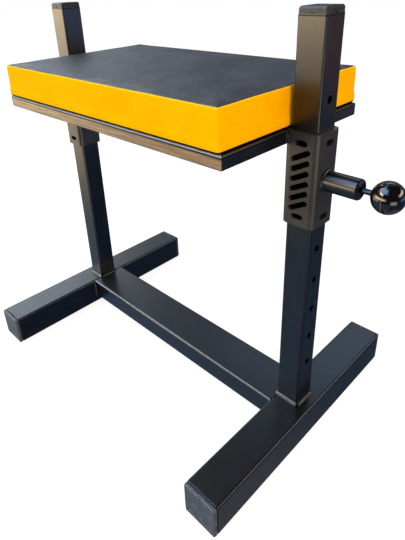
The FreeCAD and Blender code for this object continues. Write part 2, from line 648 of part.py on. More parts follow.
def pin_plunger():
    """Turned plunger: locking tip, spring collar and rod, shown drawn out of the upright."""
    tip_x = UPRIGHT_OUTER_X + TIP_CLEARANCE
    collar_x = collar_inner_x()
    collar_end_x = collar_x + COLLAR_THICKNESS
    rod_end_x = KNOB_X - KNOB_DIAMETER / 2 + KNOB_THREAD_DEPTH
    tip_radius = TIP_DIAMETER / 2
    profile = [Vector(tip_x, 0, 0), Vector(tip_x, tip_radius - TIP_CHAMFER, 0)]
    profile.append(Vector(tip_x + TIP_CHAMFER, tip_radius, 0))
    profile.append(Vector(collar_x, tip_radius, 0))
    profile.append(Vector(collar_x, COLLAR_DIAMETER / 2, 0))
    profile.append(Vector(collar_end_x, COLLAR_DIAMETER / 2, 0))
    profile.append(Vector(collar_end_x, ROD_DIAMETER / 2, 0))
    profile.append(Vector(rod_end_x, ROD_DIAMETER / 2, 0))
    profile.append(Vector(rod_end_x, 0, 0))
    return moved(turned(profile), 0, UPRIGHT_SETBACK, PIN_Z)


def pin_knob():
    """Ball knob with a flat round the blind hole that takes the rod."""
    radius = KNOB_DIAMETER / 2
    flat_radius = KNOB_FLAT / 2
    flat_x = -math.sqrt(radius ** 2 - flat_radius ** 2)
    ball = Part.makeSphere(radius)
    beyond = Part.makeBox(radius, 2 * radius, 2 * radius, Vector(flat_x - radius, -radius, -radius))
    ball = ball.cut(beyond)
    hole_end_x = -radius + KNOB_THREAD_DEPTH
    ball = ball.cut(rod_along_x(ROD_DIAMETER, -radius - OVERRUN, hole_end_x, 0, 0))
    return moved(ball, KNOB_X, UPRIGHT_SETBACK, PIN_Z)


def arc_from(start, tangent, end):
    """Return the circular arc that leaves start along tangent and reaches end."""
    chord = end - start
    half = chord.Length / 2
    along = Vector(chord).normalize()
    lean = tangent - along * tangent.dot(along)
    bulge = half * math.tan(math.asin(min(lean.Length, 1.0)) / 2)
    middle = (start + end) * 0.5 + lean.normalize() * bulge
    return Part.Arc(start, middle, end).toShape()


def coil_path(radius, pitch, turns, start_x):
    """Return a helix about the X axis as pairs of arcs, one pair for each half turn."""
    slope = pitch / (2 * math.pi)
    edges = []
    for index in range(2 * turns):
        ends = []
        for angle in (math.pi * index, math.pi * (index + 1)):
            point = Vector(start_x + slope * angle, radius * math.cos(angle), radius * math.sin(angle))
            tangent = Vector(slope, -radius * math.sin(angle), radius * math.cos(angle)).normalize()
            ends.append((point, tangent))
        (start, leave), (end, arrive) = ends
        span = end - start
        pull = span.dot(leave + arrive)
        spread = 2 * (1 - leave.dot(arrive))
        reach = (-pull + math.sqrt(pull ** 2 + spread * span.dot(span))) / spread
        joint = (start + leave * reach + end - arrive * reach) * 0.5
        edges.append(arc_from(start, leave, joint))
        edges.append(arc_from(joint, (joint - start - leave * reach).normalize(), end))
    return Part.Wire(edges)


def least_gap(path, wire):
    """Return the least gap between the turns of a coil, measured on points along its wire."""
    points = path.discretize(SPRING_SAMPLES)
    apart = SPRING_SAMPLES // (2 * SPRING_TURNS)
    gaps = []
    for index, point in enumerate(points):
        for other in points[index + apart:]:
            gaps.append(point.distanceToPoint(other) - wire)
    return min(gaps)


def pin_spring():
    """Compression spring between the plunger's collar and the bush."""
    seat_x = collar_inner_x() + COLLAR_THICKNESS + SPRING_SEAT_GAP + SPRING_WIRE / 2
    stop_x = BARREL_END_X - BUSH_RECESS - BUSH_LENGTH - SPRING_SEAT_GAP - SPRING_WIRE / 2
    radius = (SPRING_DIAMETER - SPRING_WIRE) / 2
    pitch = (stop_x - seat_x) / SPRING_TURNS
    path = coil_path(radius, pitch, SPRING_TURNS, seat_x)
    print("pin spring: least gap to itself", round(least_gap(path, SPRING_WIRE), 2), "mm")
    start = path.Edges[0]
    heading = start.tangentAt(start.FirstParameter)
    turn = FreeCAD.Rotation(Vector(0, 0, 1), heading)
    corners = []
    for corner in range(SPRING_WIRE_SIDES + 1):
        angle = 2 * math.pi * corner / SPRING_WIRE_SIDES
        offset = Vector(SPRING_WIRE / 2 * math.cos(angle), SPRING_WIRE / 2 * math.sin(angle), 0)
        corners.append(start.Vertexes[0].Point + turn.multVec(offset))
    coil = path.makePipeShell([Part.makePolygon(corners)], True, False)
    return moved(coil, 0, UPRIGHT_SETBACK, PIN_Z)


def build():
    """Return every sub-part of the squat box under its node name."""
    parts = {
        "cross_beam": cross_beam(),
        "seat_rail_front": long_rail(-1),
        "seat_rail_back": long_rail(1),
        "seat_board": seat_board(),
        "seat_foam": seat_foam(),
        "seat_top_cover": seat_top_cover(),
        "seat_side_cover": below_seam(seat_side_cover()),
        "seat_bolts": seat_bolts(),
        "bolt_washers": bolt_washers(),
        "tee_nuts": tee_nuts(),
    }
    handed = {
        "foot": foot(),
        "foot_cap_front": foot_cap(-1),
        "foot_cap_back": foot_cap(1),
        "beam_weld": beam_weld(),
        "upright": upright(),
        "upright_weld": upright_weld(),
        "upright_cap": upright_cap(),
        "sleeve": sleeve(),
        "sleeve_weld": sleeve_weld(),
        "seat_rail": side_rail(),
        "seat_slat": seat_slat(),
        "pin_barrel": pin_barrel(),
        "barrel_weld": barrel_weld(),
        "barrel_bush": barrel_bush(),
        "pin_plunger": pin_plunger(),
        "pin_knob": pin_knob(),
        "pin_spring": pin_spring(),
    }
    for side, word in ((-1, "left"), (1, "right")):
        for name, shape in handed.items():
            parts[name + "_" + word] = on_side(shape, side)
    # Both sleeves are the same part, so the left one is turned half round and not mirrored
    parts["sleeve_left"] = handed["sleeve"].rotated(Vector(0, UPRIGHT_SETBACK, 0), Vector(0, 0, 1), 180)
    return parts


def main():
    """Write one STEP file for each sub-part."""
    os.makedirs("parts", exist_ok=True)
    for name, shape in build().items():
        if not shape.isValid():
            print("not valid:", name)
        print(name, len(shape.Solids), "solid(s)", round(shape.Volume / 1000, 2), "cm3")
        shape.exportStep(os.path.join("parts", name + ".step"))


if __name__ == "__main__":
    main()
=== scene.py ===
"""Looks of the height-adjustable squat box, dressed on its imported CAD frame."""

import json
import logging
import math
from dataclasses import dataclass
from enum import Enum
from typing import Callable, Mapping, Sequence

import bmesh
import bpy
import numpy as np
from mathutils import Matrix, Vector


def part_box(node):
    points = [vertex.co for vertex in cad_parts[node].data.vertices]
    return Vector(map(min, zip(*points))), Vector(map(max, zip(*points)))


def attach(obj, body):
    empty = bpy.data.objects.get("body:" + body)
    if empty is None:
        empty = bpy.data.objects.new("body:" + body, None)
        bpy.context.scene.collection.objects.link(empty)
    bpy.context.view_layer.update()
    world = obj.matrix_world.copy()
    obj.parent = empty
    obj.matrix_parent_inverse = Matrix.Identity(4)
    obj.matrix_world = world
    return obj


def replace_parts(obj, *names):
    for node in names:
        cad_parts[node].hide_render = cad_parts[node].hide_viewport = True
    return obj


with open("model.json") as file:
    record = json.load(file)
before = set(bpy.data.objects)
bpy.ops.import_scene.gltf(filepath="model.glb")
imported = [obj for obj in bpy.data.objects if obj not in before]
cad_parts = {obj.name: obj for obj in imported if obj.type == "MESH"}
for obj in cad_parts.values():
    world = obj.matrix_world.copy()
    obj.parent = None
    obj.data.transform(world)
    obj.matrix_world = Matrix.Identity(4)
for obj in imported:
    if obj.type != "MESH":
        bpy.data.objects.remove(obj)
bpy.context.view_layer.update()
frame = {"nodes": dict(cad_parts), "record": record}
LOG = logging.getLogger("squat_box")
MM = 0.001
TINY = 1e-6
SIDES = (("left", -1), ("right", 1))
ENDS = (("front", -1), ("back", 1))
ARC_POINTS = 10

Colour = tuple[float, float, float, float]
Triple = tuple[float, float, float]
Pair = tuple[float, float]


def srgb(red: int, green: int, blue: int) -> Colour:
    """Turn a display colour into linear light.

    Args:
        red: red byte.
        green: green byte.
        blue: blue byte.

    Returns:
        The colour as linear red, green, blue and an alpha of 1.
    """
    shares = np.array([red, green, blue]) / 255
    light = np.where(shares <= 0.04045, shares / 12.92, ((shares + 0.055) / 1.055) ** 2.4)
    return (*light.tolist(), 1.0)


def scaled(colour: Colour, share: float) -> Colour:
    """Return a colour at a share of its light."""
    return (*(share * part for part in colour[:3]), 1.0)


class Field:
    """A number or colour that varies over a surface, with arithmetic that adds Math nodes."""

    def __init__(self, shader: "Shader", socket: bpy.types.NodeSocket) -> None:
        """Wrap the output socket of a node in a shader."""
        self.shader = shader
        self.socket = socket

    def math(self, operation: str, *values: "Field | float") -> "Field":
        """Feed values to one Math node and return its result."""
        return self.shader.node("ShaderNodeMath", {"operation": operation}, dict(enumerate(values)))

    def __add__(self, other: "Field | float") -> "Field":
        """Add, in either order."""
        return self.math("ADD", self, other)

    def __sub__(self, other: "Field | float") -> "Field":
        """Subtract."""
        return self.math("SUBTRACT", self, other)

    def __rsub__(self, other: float) -> "Field":
        """Subtract this from a number."""
        return self.math("SUBTRACT", other, self)

    def __mul__(self, other: "Field | float") -> "Field":
        """Multiply, in either order."""
        return self.math("MULTIPLY", self, other)

    def __abs__(self) -> "Field":
        """Drop the sign."""
        return self.math("ABSOLUTE", self)

    __radd__ = __add__
    __rmul__ = __mul__

    def smooth(self, low: float, high: float) -> "Field":
        """Rise smoothly from 0 to 1.

        Args:
            low: the value where the rise starts.
            high: the value where it ends.

        Returns:
            The rise.
        """
        settings = {"interpolation_type": "SMOOTHSTEP"}
        values = {"Value": self, "From Min": low, "From Max": high}
        return self.shader.node("ShaderNodeMapRange", settings, values)


class Shader:
    """One node tree, built by calls that each add a node and return its output."""

    def __init__(self, tree: bpy.types.NodeTree) -> None:
        """Empty a tree and start on it."""
        self.tree = tree
        tree.nodes.clear()

    def node(self, kind: str, settings: Mapping[str, object], sockets: Mapping[int | str, object],
             output: int | str = 0) -> Field:
        """Add a node, set it up and feed its sockets.

        Args:
            kind: the node's type.
            settings: its properties.
            sockets: a value or a Field for each input, by name or number.
            output: the output to return.

        Returns:
            That output.
        """
        made = self.tree.nodes.new(kind)
        for name, value in settings.items():
            setattr(made, name, value)
        for name, value in sockets.items():
            if isinstance(value, Field):
                self.tree.links.new(value.socket, made.inputs[name])
            else:
                made.inputs[name].default_value = value
        return Field(self, made.outputs[output])

    def place(self) -> Field:
        """Return the point on the surface, in metres of the object's own frame."""
        return self.node("ShaderNodeTexCoord", {}, {}, "Object")

    def vector(self, operation: str, *values: object, output: int | str = 0) -> Field:
        """Feed values to one Vector Math node and return its result."""
        return self.node("ShaderNodeVectorMath", {"operation": operation}, dict(enumerate(values)), output)

    def axes(self, vector: Field) -> tuple[Field, Field, Field]:
        """Split a vector into its three numbers.

        Args:
            vector: the vector.

        Returns:
            Its numbers along X, Y and Z.
        """
        split = self.node("ShaderNodeSeparateXYZ", {}, {0: vector})
        outputs = split.socket.node.outputs
        return Field(self, outputs[0]), Field(self, outputs[1]), Field(self, outputs[2])

    def noise(self, place: Field, scale: float, detail: float = 2.0, rough: float = 0.5) -> Field:
        """Return fractal noise whose cells are 1/scale metres wide."""
        values = {"Vector": place, "Scale": scale, "Detail": detail, "Roughness": rough}
        return self.node("ShaderNodeTexNoise", {}, values)

    def stretched(self, place: Field, scale: Triple) -> Field:
        """Return the place scaled along each axis, so that a small scale draws a pattern out."""
        return self.node("ShaderNodeMapping", {}, {"Vector": place, "Scale": scale})

    def drift(self, place: Field, scale: float, reach: float) -> Field:
        """Return the place pushed about by up to reach metres by a coloured noise."""
        push = self.node("ShaderNodeTexNoise", {}, {"Vector": place, "Scale": scale}, "Color")
        return self.vector("MULTIPLY_ADD", push, (reach,) * 3, place)

    def cells(self, place: Field, scale: float, feature: str = "F1") -> Field:
        """Return the distance to the nearest cell point, or to the nearest cell wall."""
        return self.node("ShaderNodeTexVoronoi", {"feature": feature}, {"Vector": place, "Scale": scale})

    def blend(self, share: Field | float, first: Field | Colour, second: Field | Colour) -> Field:
        """Mix two colours."""
        return self.node("ShaderNodeMix", {"data_type": "RGBA"}, {0: share, 6: first, 7: second}, 2)

    def bump(self, height: Field, depth: float, under: Field | None = None) -> Field:
        """Turn a height from 0 to 1 into a normal.

        Args:
            height: the height.
            depth: what a height of 1 stands for, in metres.
            under: the normal that it lies on, if any.

        Returns:
            The normal.
        """
        values = {"Height": height, "Distance": depth, "Strength": 1.0}
        if under is not None:
            values["Normal"] = under
        return self.node("ShaderNodeBump", {}, values)

    def finish(self, **sockets: object) -> None:
        """End the tree in a Principled shader with these sockets; a name's underscores are spaces."""
        values = {name.replace("_", " "): value for name, value in sockets.items()}
        self.end(self.node("ShaderNodeBsdfPrincipled", {}, values))

    def end(self, surface: Field, kind: str = "ShaderNodeOutputMaterial") -> None:
        """Join a shader to the tree's output."""
        out = self.tree.nodes.new(kind)
        self.tree.links.new(surface.socket, out.inputs["Surface"])


@dataclass(frozen=True)
class Finish:
    """A finish of the squat box; each kind of finish paints itself."""

    name: str
    colour: Colour
    roughness: float

    def paint(self, shader: Shader) -> None:
        """Build the finish's nodes."""
        raise NotImplementedError

    def material(self) -> bpy.types.Material:
        """Find the finish's material, or make it on the first call.

        Returns:
            The material.
        """
        found = bpy.data.materials.get(self.name)
        if found is None:
            found = bpy.data.materials.new(self.name)
            found.use_nodes = True
            self.paint(Shader(found.node_tree))
        return found


@dataclass(frozen=True)
class PowderCoat(Finish):
    """Satin powder coat with a fine orange-peel skin.

    On drawn tube it follows the tube's fine lines. A lip is a raised line round the piece between
    three heights, its foot, crest and head; with a colour it also gets a painted dark line of shade
    between foot and crest and a painted highlight above the crest.
    """

    patch_scale: float = 14.0
    patch_edges: Pair = (0.35, 0.7)
    patch_light: float = 1.7
    patch_dulling: float = 0.1
    speck_scale: float = 2600.0
    speck_dulling: float = 0.06
    peel_scale: float = 620.0
    peel: float = 0.05 * MM
    coat: float = 0.35
    coat_roughness: float = 0.22
    streaks: Triple | None = None
    streak_scale: float = 320.0
    streak_edges: Pair = (0.42, 0.62)
    streak_shade: float = 0.6
    streak_dulling: float = 0.12
    groove: float = 0.3 * MM
    lip: Triple | None = None
    lip_depth: float = 1.2 * MM
    lip_fade: float = 0.3 * MM
    lip_colour: Colour | None = None
    gap_colour: Colour = srgb(3, 3, 3)

    def paint(self, shader: Shader) -> None:
        """Near-black paint, a touch lighter and duller in broad patches.

        Args:
            shader: the material's tree.
        """
        place = shader.place()
        patches = shader.noise(place, self.patch_scale, 3.0)
        speck = shader.noise(place, self.speck_scale, 1.0)
        colour = shader.blend(patches.smooth(*self.patch_edges), self.colour,
                              scaled(self.colour, self.patch_light))
        normal = shader.bump(shader.noise(place, self.peel_scale, 2.0, 0.45), self.peel)
        roughness = self.roughness + self.patch_dulling * patches + self.speck_dulling * speck
        if self.streaks is not None:
            lines = shader.noise(shader.stretched(place, self.streaks), self.streak_scale, 3.0, 0.6)
            normal = shader.bump(lines, self.groove, normal)
            colour = shader.blend(lines.smooth(*self.streak_edges), scaled(self.colour, self.streak_shade),
                                  colour)
            roughness = roughness + self.streak_dulling * lines
        if self.lip is not None:
            foot, crest, head = self.lip
            _, _, rise = shader.axes(place)
            normal = shader.bump(rise.smooth(foot, crest) * (1.0 - rise.smooth(crest, head)), self.lip_depth,
                                 normal)
            # painted shade and highlight: near-black between the lip's foot and crest, pale above its crest
            if self.lip_colour is not None:
                colour = shader.blend(rise.smooth(foot, foot + self.lip_fade), colour, self.gap_colour)
                colour = shader.blend(rise.smooth(crest, crest + self.lip_fade), colour, self.lip_colour)
        shader.finish(Base_Color=colour, Roughness=roughness, Normal=normal, Coat_Weight=self.coat,
                      Coat_Roughness=self.coat_roughness)


@dataclass(frozen=True)
class MouldedPlastic(Finish):
    """Moulded plastic with a spark-eroded texture and a parting line at mould_line on either side."""

    grain: float = 520.0
    depth: float = 0.2 * MM
    haze_scale: float = 90.0
    haze_edges: Pair = (0.35, 0.65)
    haze_shades: Pair = (0.8, 1.5)
    haze_dulling: float = 0.12
    mould_line: float = 306.25 * MM
    line_edges: Pair = (0.3 * MM, 0.9 * MM)
    line_depth: float = 0.25 * MM
    index: float = 1.5

    def paint(self, shader: Shader) -> None:
        """Dark plastic with a fine leathery pebble and the mould's parting line on each side.

        Args:
            shader: the material's tree.
        """
        place = shader.place()
        across, _, _ = shader.axes(place)
        parting = abs(abs(across) - self.mould_line).smooth(*self.line_edges)
        pebble = shader.cells(place, self.grain, "SMOOTH_F1")
        haze = shader.noise(place, self.haze_scale, 4.0, 0.65)
        dark, pale = (scaled(self.colour, shade) for shade in self.haze_shades)
        colour = shader.blend(haze.smooth(*self.haze_edges), dark, pale)
        normal = shader.bump(parting, self.line_depth, shader.bump(pebble, self.depth))
        shader.finish(Base_Color=colour, Roughness=self.roughness + self.haze_dulling * haze,
                      Normal=normal, IOR=self.index)


@dataclass(frozen=True)
class GlossPlastic(Finish):
    """Polished phenolic plastic of the ball knobs, with a parting line round the middle of each."""

    parting: float = 411.0 * MM
    line_edges: Pair = (0.2 * MM, 0.55 * MM)
    line_colour: Colour = srgb(96, 98, 100)
    line_dulling: float = 0.4
    wave_scale: float = 70.0
    wave_depth: float = 0.06 * MM
    haze_scale: float = 900.0
    haze_dulling: float = 0.05
    coat: float = 0.6
    coat_roughness: float = 0.06

    def paint(self, shader: Shader) -> None:
        """Deep black with the faintest waviness of a moulding and a dull parting line.

        Args:
            shader: the material's tree.
        """
        place = shader.place()
        across, _, _ = shader.axes(place)
        line = 1.0 - abs(abs(across) - self.parting).smooth(*self.line_edges)
        colour = shader.blend(line, self.colour, self.line_colour)
        wave = shader.noise(place, self.wave_scale, 1.0)
        haze = shader.noise(place, self.haze_scale, 2.0)
        roughness = self.roughness + self.haze_dulling * haze + self.line_dulling * line
        shader.finish(Base_Color=colour, Roughness=roughness, Normal=shader.bump(wave, self.wave_depth),
                      Coat_Weight=self.coat - self.coat * line, Coat_Roughness=self.coat_roughness)


@dataclass(frozen=True)
class Vinyl(Finish):
    """Upholstery vinyl with an embossed grain and soft stretch marks.

    The lines are heights: under the shade line the colour turns near-black, a painted shadow of the
    gap to the seat frame; over the highlight line it turns pale, a painted highlight on the roll; and
    under the sheen line lies the rubbed edge.
    """

    grain: float = 900.0
    depth: float = 0.1 * MM
    crease_share: float = 0.6
    crease_reach: float = 0.22
    crease_tint: float = 0.22
    crease_shade: float = 0.55
    crease_dulling: float = 0.08
    warp_scale: float = 260.0
    warp_reach: float = 1.6 * MM
    cloudy: Colour = (0.0, 0.0, 0.0, 1.0)
    cloud_share: float = 0.3
    cloud_scale: float = 15.0
    cloud_edges: Pair = (0.38, 0.64)
    cloud_dulling: float = 0.1
    stretch_scale: float = 22.0
    stretch_depth: float = 1.6 * MM
    ripple_scale: float = 95.0
    ripple_depth: float = 0.35 * MM
    index: float = 1.5
    shade_line: float | None = None
    shade_colour: Colour = srgb(8, 7, 5)
    pale_line: float | None = None
    pale_colour: Colour = srgb(255, 218, 40)
    sheen_line: float | None = None
    line_fade: float = 0.4 * MM
    sheen_fade: float = 0.6 * MM
    sheen_edges: Pair = (0.4, 0.6)
    sheen: float = 0.16

    def paint(self, shader: Shader) -> None:
        """Grained skin: pebbles parted by fine creases, clouded colour, painted shade and duller in the creases.

        Args:
            shader: the material's tree.
        """
        place = shader.place()
        warped = shader.drift(place, self.warp_scale, self.warp_reach)
        pebble = shader.cells(warped, self.grain, "SMOOTH_F1")
        walls = shader.cells(warped, self.grain * self.crease_share, "DISTANCE_TO_EDGE")
        crease = walls.smooth(0.0, self.crease_reach)
        stretch = shader.noise(place, self.stretch_scale, 4.0, 0.6)
        cloud = shader.noise(place, self.cloud_scale, 5.0, 0.62)
        colour = shader.blend(cloud.smooth(*self.cloud_edges) * self.cloud_share, self.colour, self.cloudy)
        # painted shade: the colour darkens in the grain's creases
        colour = shader.blend((1.0 - crease) * self.crease_tint, colour, scaled(self.colour, self.crease_shade))
        _, _, rise = shader.axes(place)
        roughness = self.roughness + self.cloud_dulling * cloud + self.crease_dulling * (1.0 - crease)
        if self.sheen_line is not None:
            edge = 1.0 - self.above(rise, self.sheen_line, self.sheen_fade)
            roughness = roughness - self.sheen * edge * stretch.smooth(*self.sheen_edges)
        # painted highlight: over the highlight line the colour turns pale on the seam's roll
        if self.pale_line is not None:
            colour = shader.blend(self.above(rise, self.pale_line, self.line_fade), colour, self.pale_colour)
        # painted shadow: under the shade line the colour turns near-black for the gap to the seat frame
        if self.shade_line is not None:
            colour = shader.blend(self.above(rise, self.shade_line, self.line_fade), self.shade_colour, colour)
        fine = shader.bump(pebble * -1.0 + crease, self.depth)
        normal = shader.bump(stretch, self.stretch_depth, fine)
        normal = shader.bump(shader.noise(place, self.ripple_scale, 3.0, 0.6), self.ripple_depth, normal)
        shader.finish(Base_Color=colour, Roughness=roughness, Normal=normal, IOR=self.index)

    @staticmethod
    def above(rise: Field, line: float, fade: float) -> Field:
        """Return 1 above a height and 0 below it, with a soft step."""
        return rise.smooth(line - fade, line + fade)


@dataclass(frozen=True)
class TurnedSteel(Finish):
    """Turned or drawn steel with fine rings."""

    pitch: float = 0.35 * MM
    ring_depth: float = 0.006 * MM
    stain_scale: float = 180.0
    stain_edges: Pair = (0.35, 0.8)
    stain_shade: float = 0.6
    stain_dulling: float = 0.12

    def paint(self, shader: Shader) -> None:
        """Bright metal with rings round the X axis and faint stains.

        Args:
            shader: the material's tree.
        """
        place = shader.place()
        along, _, _ = shader.axes(place)
        turns = along * (2 * math.pi / self.pitch)
        rings = turns.math("SINE", turns) * 0.5 + 0.5
        stain = shader.noise(place, self.stain_scale, 3.0)
        colour = shader.blend(stain.smooth(*self.stain_edges), self.colour, scaled(self.colour, self.stain_shade))
        shader.finish(Base_Color=colour, Metallic=1.0, Roughness=self.roughness + self.stain_dulling * stain,
                      Normal=shader.bump(rings, self.ring_depth))


@dataclass(frozen=True)
class PlyBoard(Finish):
    """Plywood with long grain along X."""

    grain: Triple = (1.0, 14.0, 14.0)
    streak_scale: float = 16.0
    streak_depth: float = 0.12 * MM
    streak_edges: Pair = (0.3, 0.75)
    streak_shade: float = 0.62
    knot_scale: float = 3.0
    knot_dulling: float = 0.15

    def paint(self, shader: Shader) -> None:
        """Pale wood, streaked along its length.

        Args:
            shader: the material's tree.
        """
        drawn = shader.stretched(shader.place(), self.grain)
        streak = shader.noise(drawn, self.streak_scale, 5.0, 0.62)
        knot = shader.noise(drawn, self.knot_scale, 2.0)
        colour = shader.blend(streak.smooth(*self.streak_edges), self.colour,
                              scaled(self.colour, self.streak_shade))
        shader.finish(Base_Color=colour, Roughness=self.roughness + self.knot_dulling * knot,
                      Normal=shader.bump(streak, self.streak_depth))


@dataclass(frozen=True)
class OpenFoam(Finish):
    """Open-cell upholstery foam."""

    pore_scale: float = 1400.0
    pore_depth: float = 0.3 * MM
    pore_shade: float = 0.7

    def paint(self, shader: Shader) -> None:
        """Pale foam with fine pores, with painted shade in each pore."""
        pores = shader.cells(shader.place(), self.pore_scale)
        # painted shade: the colour darkens towards the middle of each pore
        shader.finish(Base_Color=shader.blend(pores, scaled(self.colour, self.pore_shade), self.colour),
                      Roughness=self.roughness, Normal=shader.bump(pores, self.pore_depth))


ALONG_X, ALONG_Y, ALONG_Z = (0.03, 1.0, 1.0), (1.0, 0.03, 1.0), (1.0, 1.0, 0.03)
TUBE_GROOVE = 0.07 * MM
RAIL_LIP = (552.5 * MM, 555.2 * MM, 557.9 * MM)
UPRIGHT_LIP = (701.4 * MM, 703.4 * MM, 705.4 * MM)
COAT = srgb(5, 6, 9)
UPRIGHT_COAT = PowderCoat("upright_coat", COAT, 0.19, streaks=ALONG_Z, groove=TUBE_GROOVE, lip=UPRIGHT_LIP)
FOOT_COAT = PowderCoat("foot_coat", COAT, 0.24, streaks=ALONG_Y, groove=TUBE_GROOVE)
BEAM_COAT = PowderCoat("beam_coat", COAT, 0.24, streaks=ALONG_X, groove=TUBE_GROOVE)
# The front and back rails' tan colour is painted reflection of the warm studio on the black coat; their lip
# carries a painted highlight over a painted dark line of shade.
RAIL_PAINTED_LIT_ALONG_X = PowderCoat("rail_coat_along_x_painted_reflection", srgb(128, 107, 76), 0.36, streaks=ALONG_X, lip=RAIL_LIP,
                          lip_colour=srgb(138, 148, 160))
RAIL_ALONG_Y = PowderCoat("rail_coat_along_y", srgb(8, 8, 9), 0.24, coat=0.5, streaks=ALONG_Y, lip=RAIL_LIP)
SLEEVE_COAT = PowderCoat("sleeve_coat", srgb(33, 33, 31), 0.38, peel=0.12 * MM)
DARK_ROD = TurnedSteel("oiled_rod_steel", srgb(52, 58, 68), 0.26)
FOOT_CAP = MouldedPlastic("pebbled_foot_plastic", srgb(64, 72, 81), 0.42)
# Painted shade: near-black strips with barely any reflection line the sleeves so that their slots read dark.
SLOT_SHADE_PLASTIC = MouldedPlastic("painted_slot_shade_plastic", srgb(4, 4, 5), 0.85, index=1.04)
PAIRED = {"upright": UPRIGHT_COAT, "foot": FOOT_COAT, "pin_plunger": DARK_ROD, "sleeve": SLEEVE_COAT,
          "seat_rail": RAIL_ALONG_Y}
SPECIAL = {"cross_beam": BEAM_COAT, "seat_rail_front": RAIL_PAINTED_LIT_ALONG_X, "seat_rail_back": RAIL_PAINTED_LIT_ALONG_X,
           **{f"{stem}_{side}": finish for stem, finish in PAIRED.items() for side, _ in SIDES}}


class Slot(Enum):
    """The record's material slots, each with its finish."""

    powder_coat = PowderCoat("satin_powder_coat", COAT, 0.27)
    cap_plastic = MouldedPlastic("pebbled_cap_plastic", srgb(30, 32, 35), 0.42)
    black_vinyl = Vinyl("grained_black_vinyl", srgb(43, 44, 46), 0.40, grain=1000.0, depth=0.09 * MM,
                        cloudy=srgb(80, 83, 88), cloud_share=0.5, index=1.45, sheen_line=617.2 * MM)
    # The yellow band has a painted shadow along its bottom and a painted highlight along its seam roll.
    yellow_vinyl = Vinyl("grained_yellow_vinyl", srgb(255, 197, 0), 0.5, grain=1100.0, depth=0.05 * MM,
                         cloudy=srgb(250, 182, 0), cloud_share=0.5, index=1.06, shade_line=561.6 * MM,
                         pale_line=613.1 * MM)
    plywood = PlyBoard("birch_ply", srgb(196, 160, 112), 0.62)
    foam = OpenFoam("open_cell_foam", srgb(226, 220, 200), 0.9)
    zinc_steel = TurnedSteel("bright_zinc", srgb(178, 180, 184), 0.24)
    spring_steel = TurnedSteel("drawn_spring_steel", srgb(140, 141, 144), 0.3)
    bush_steel = TurnedSteel("oiled_bush_steel", srgb(96, 97, 100), 0.38)
    knob_plastic = GlossPlastic("polished_knob_plastic", srgb(10, 10, 11), 0.08)


def add_object(name: str, data: bpy.types.ID) -> bpy.types.Object:
    """Add an object to the scene.

    Args:
        name: the object's name.
        data: its mesh, camera or light.

    Returns:
        The object.
    """
    thing = bpy.data.objects.new(name, data)
    bpy.context.scene.collection.objects.link(thing)
    return thing


def make_piece(name: str, points: np.ndarray, faces: np.ndarray, slot: Slot, body: str,
               finish: Finish | None = None) -> bpy.types.Object:
    """Make a smooth mesh piece that rides on a body.

    Args:
        name: the piece's name.
        points: its vertices, in metres, one row each.
        faces: the vertex numbers of its quads, one row each.
        slot: the record's slot that it takes its finish from.
        body: the CAD body that it rides on.
        finish: what it wears instead of the slot's own finish.

    Returns:
        The piece.
    """
    mesh = bpy.data.meshes.new(name)
    mesh.from_pydata(points.tolist(), [], faces.tolist())
    mesh.polygons.foreach_set("use_smooth", np.ones(len(mesh.polygons), bool))
    mesh.materials.append((finish or slot.value).material())
    mesh.update()
    piece = add_object(name, mesh)
    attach(piece, body)
    LOG.info("%s: %d points, %d faces, on %s", name, len(points), len(faces), body)
    return piece


def grid_faces(rows: int, columns: int, wrap_rows: bool = False, wrap_columns: bool = False) -> np.ndarray:
    """Return the quads of a grid of points numbered row by row.

    Args:
        rows: the number of rows.
        columns: the number of columns.
        wrap_rows: whether the last row joins the first.
        wrap_columns: whether the last column joins the first.

    Returns:
        The quads' vertex numbers, one row each.
    """
    row = np.arange(rows if wrap_rows else rows - 1)[:, None]
    column = np.arange(columns if wrap_columns else columns - 1)[None, :]
    next_row = (row + 1) % rows
    next_column = (column + 1) % columns
    corners = (row * columns + column, row * columns + next_column,
               next_row * columns + next_column, next_row * columns + column)
    return np.stack([np.broadcast_to(c, (row.size, column.size)).ravel() for c in corners], axis=1)


def weld_doubles(piece: bpy.types.Object) -> None:
    """Merge a mesh's doubles, drop its flat faces and turn its normals outwards.

    Args:
        piece: the object whose mesh is mended.
    """
    work = bmesh.new()
    work.from_mesh(piece.data)
    bmesh.ops.remove_doubles(work, verts=work.verts, dist=TINY)
    bmesh.ops.dissolve_degenerate(work, edges=work.edges, dist=TINY)
    bmesh.ops.recalc_face_normals(work, faces=work.faces)
    work.to_mesh(piece.data)
    work.free()
    piece.data.polygons.foreach_set("use_smooth", np.ones(len(piece.data.polygons), bool))


def rounded_ring(half_a: float, half_b: float, corner: float,
                 sides: tuple[int, int]) -> tuple[np.ndarray, np.ndarray]:
    """Walk round a rounded rectangle.

    Straight sides alternate with quarter circles; each point also gets its outward direction.

    Args:
        half_a: half the size along the first axis.
        half_b: half the size along the second axis.
        corner: the corners' radius.
        sides: the number of steps along a side that runs with the first axis and with the second.

    Returns:
        The points and their outward directions, both as rows of two numbers.
    """
    flat_a, flat_b = half_a - corner, half_b - corner
    centres = np.array([[flat_a, flat_b], [-flat_a, flat_b], [-flat_a, -flat_b], [flat_a, -flat_b]])
    arc = np.linspace(0, np.pi / 2, ARC_POINTS)
    points, outs = [], []
    for quarter, centre in enumerate(centres):
        angle = arc + quarter * np.pi / 2
        out = np.stack([np.cos(angle), np.sin(angle)], axis=1)
        points.append(centre + corner * out)
        outs.append(out)
        start = points[-1][-1]
        end = centres[(quarter + 1) % 4] + corner * out[-1]
        shares = np.linspace(0, 1, sides[quarter % 2], endpoint=False)[1:, None]
        points.append(start + shares * (end - start))
        outs.append(np.repeat(out[-1:], len(shares), axis=0))
    return np.concatenate(points), np.concatenate(outs)


def facing(way: Sequence[float], count: int) -> np.ndarray:
    """Return one direction repeated in rows."""
    return np.tile([float(part) for part in way], (count, 1))


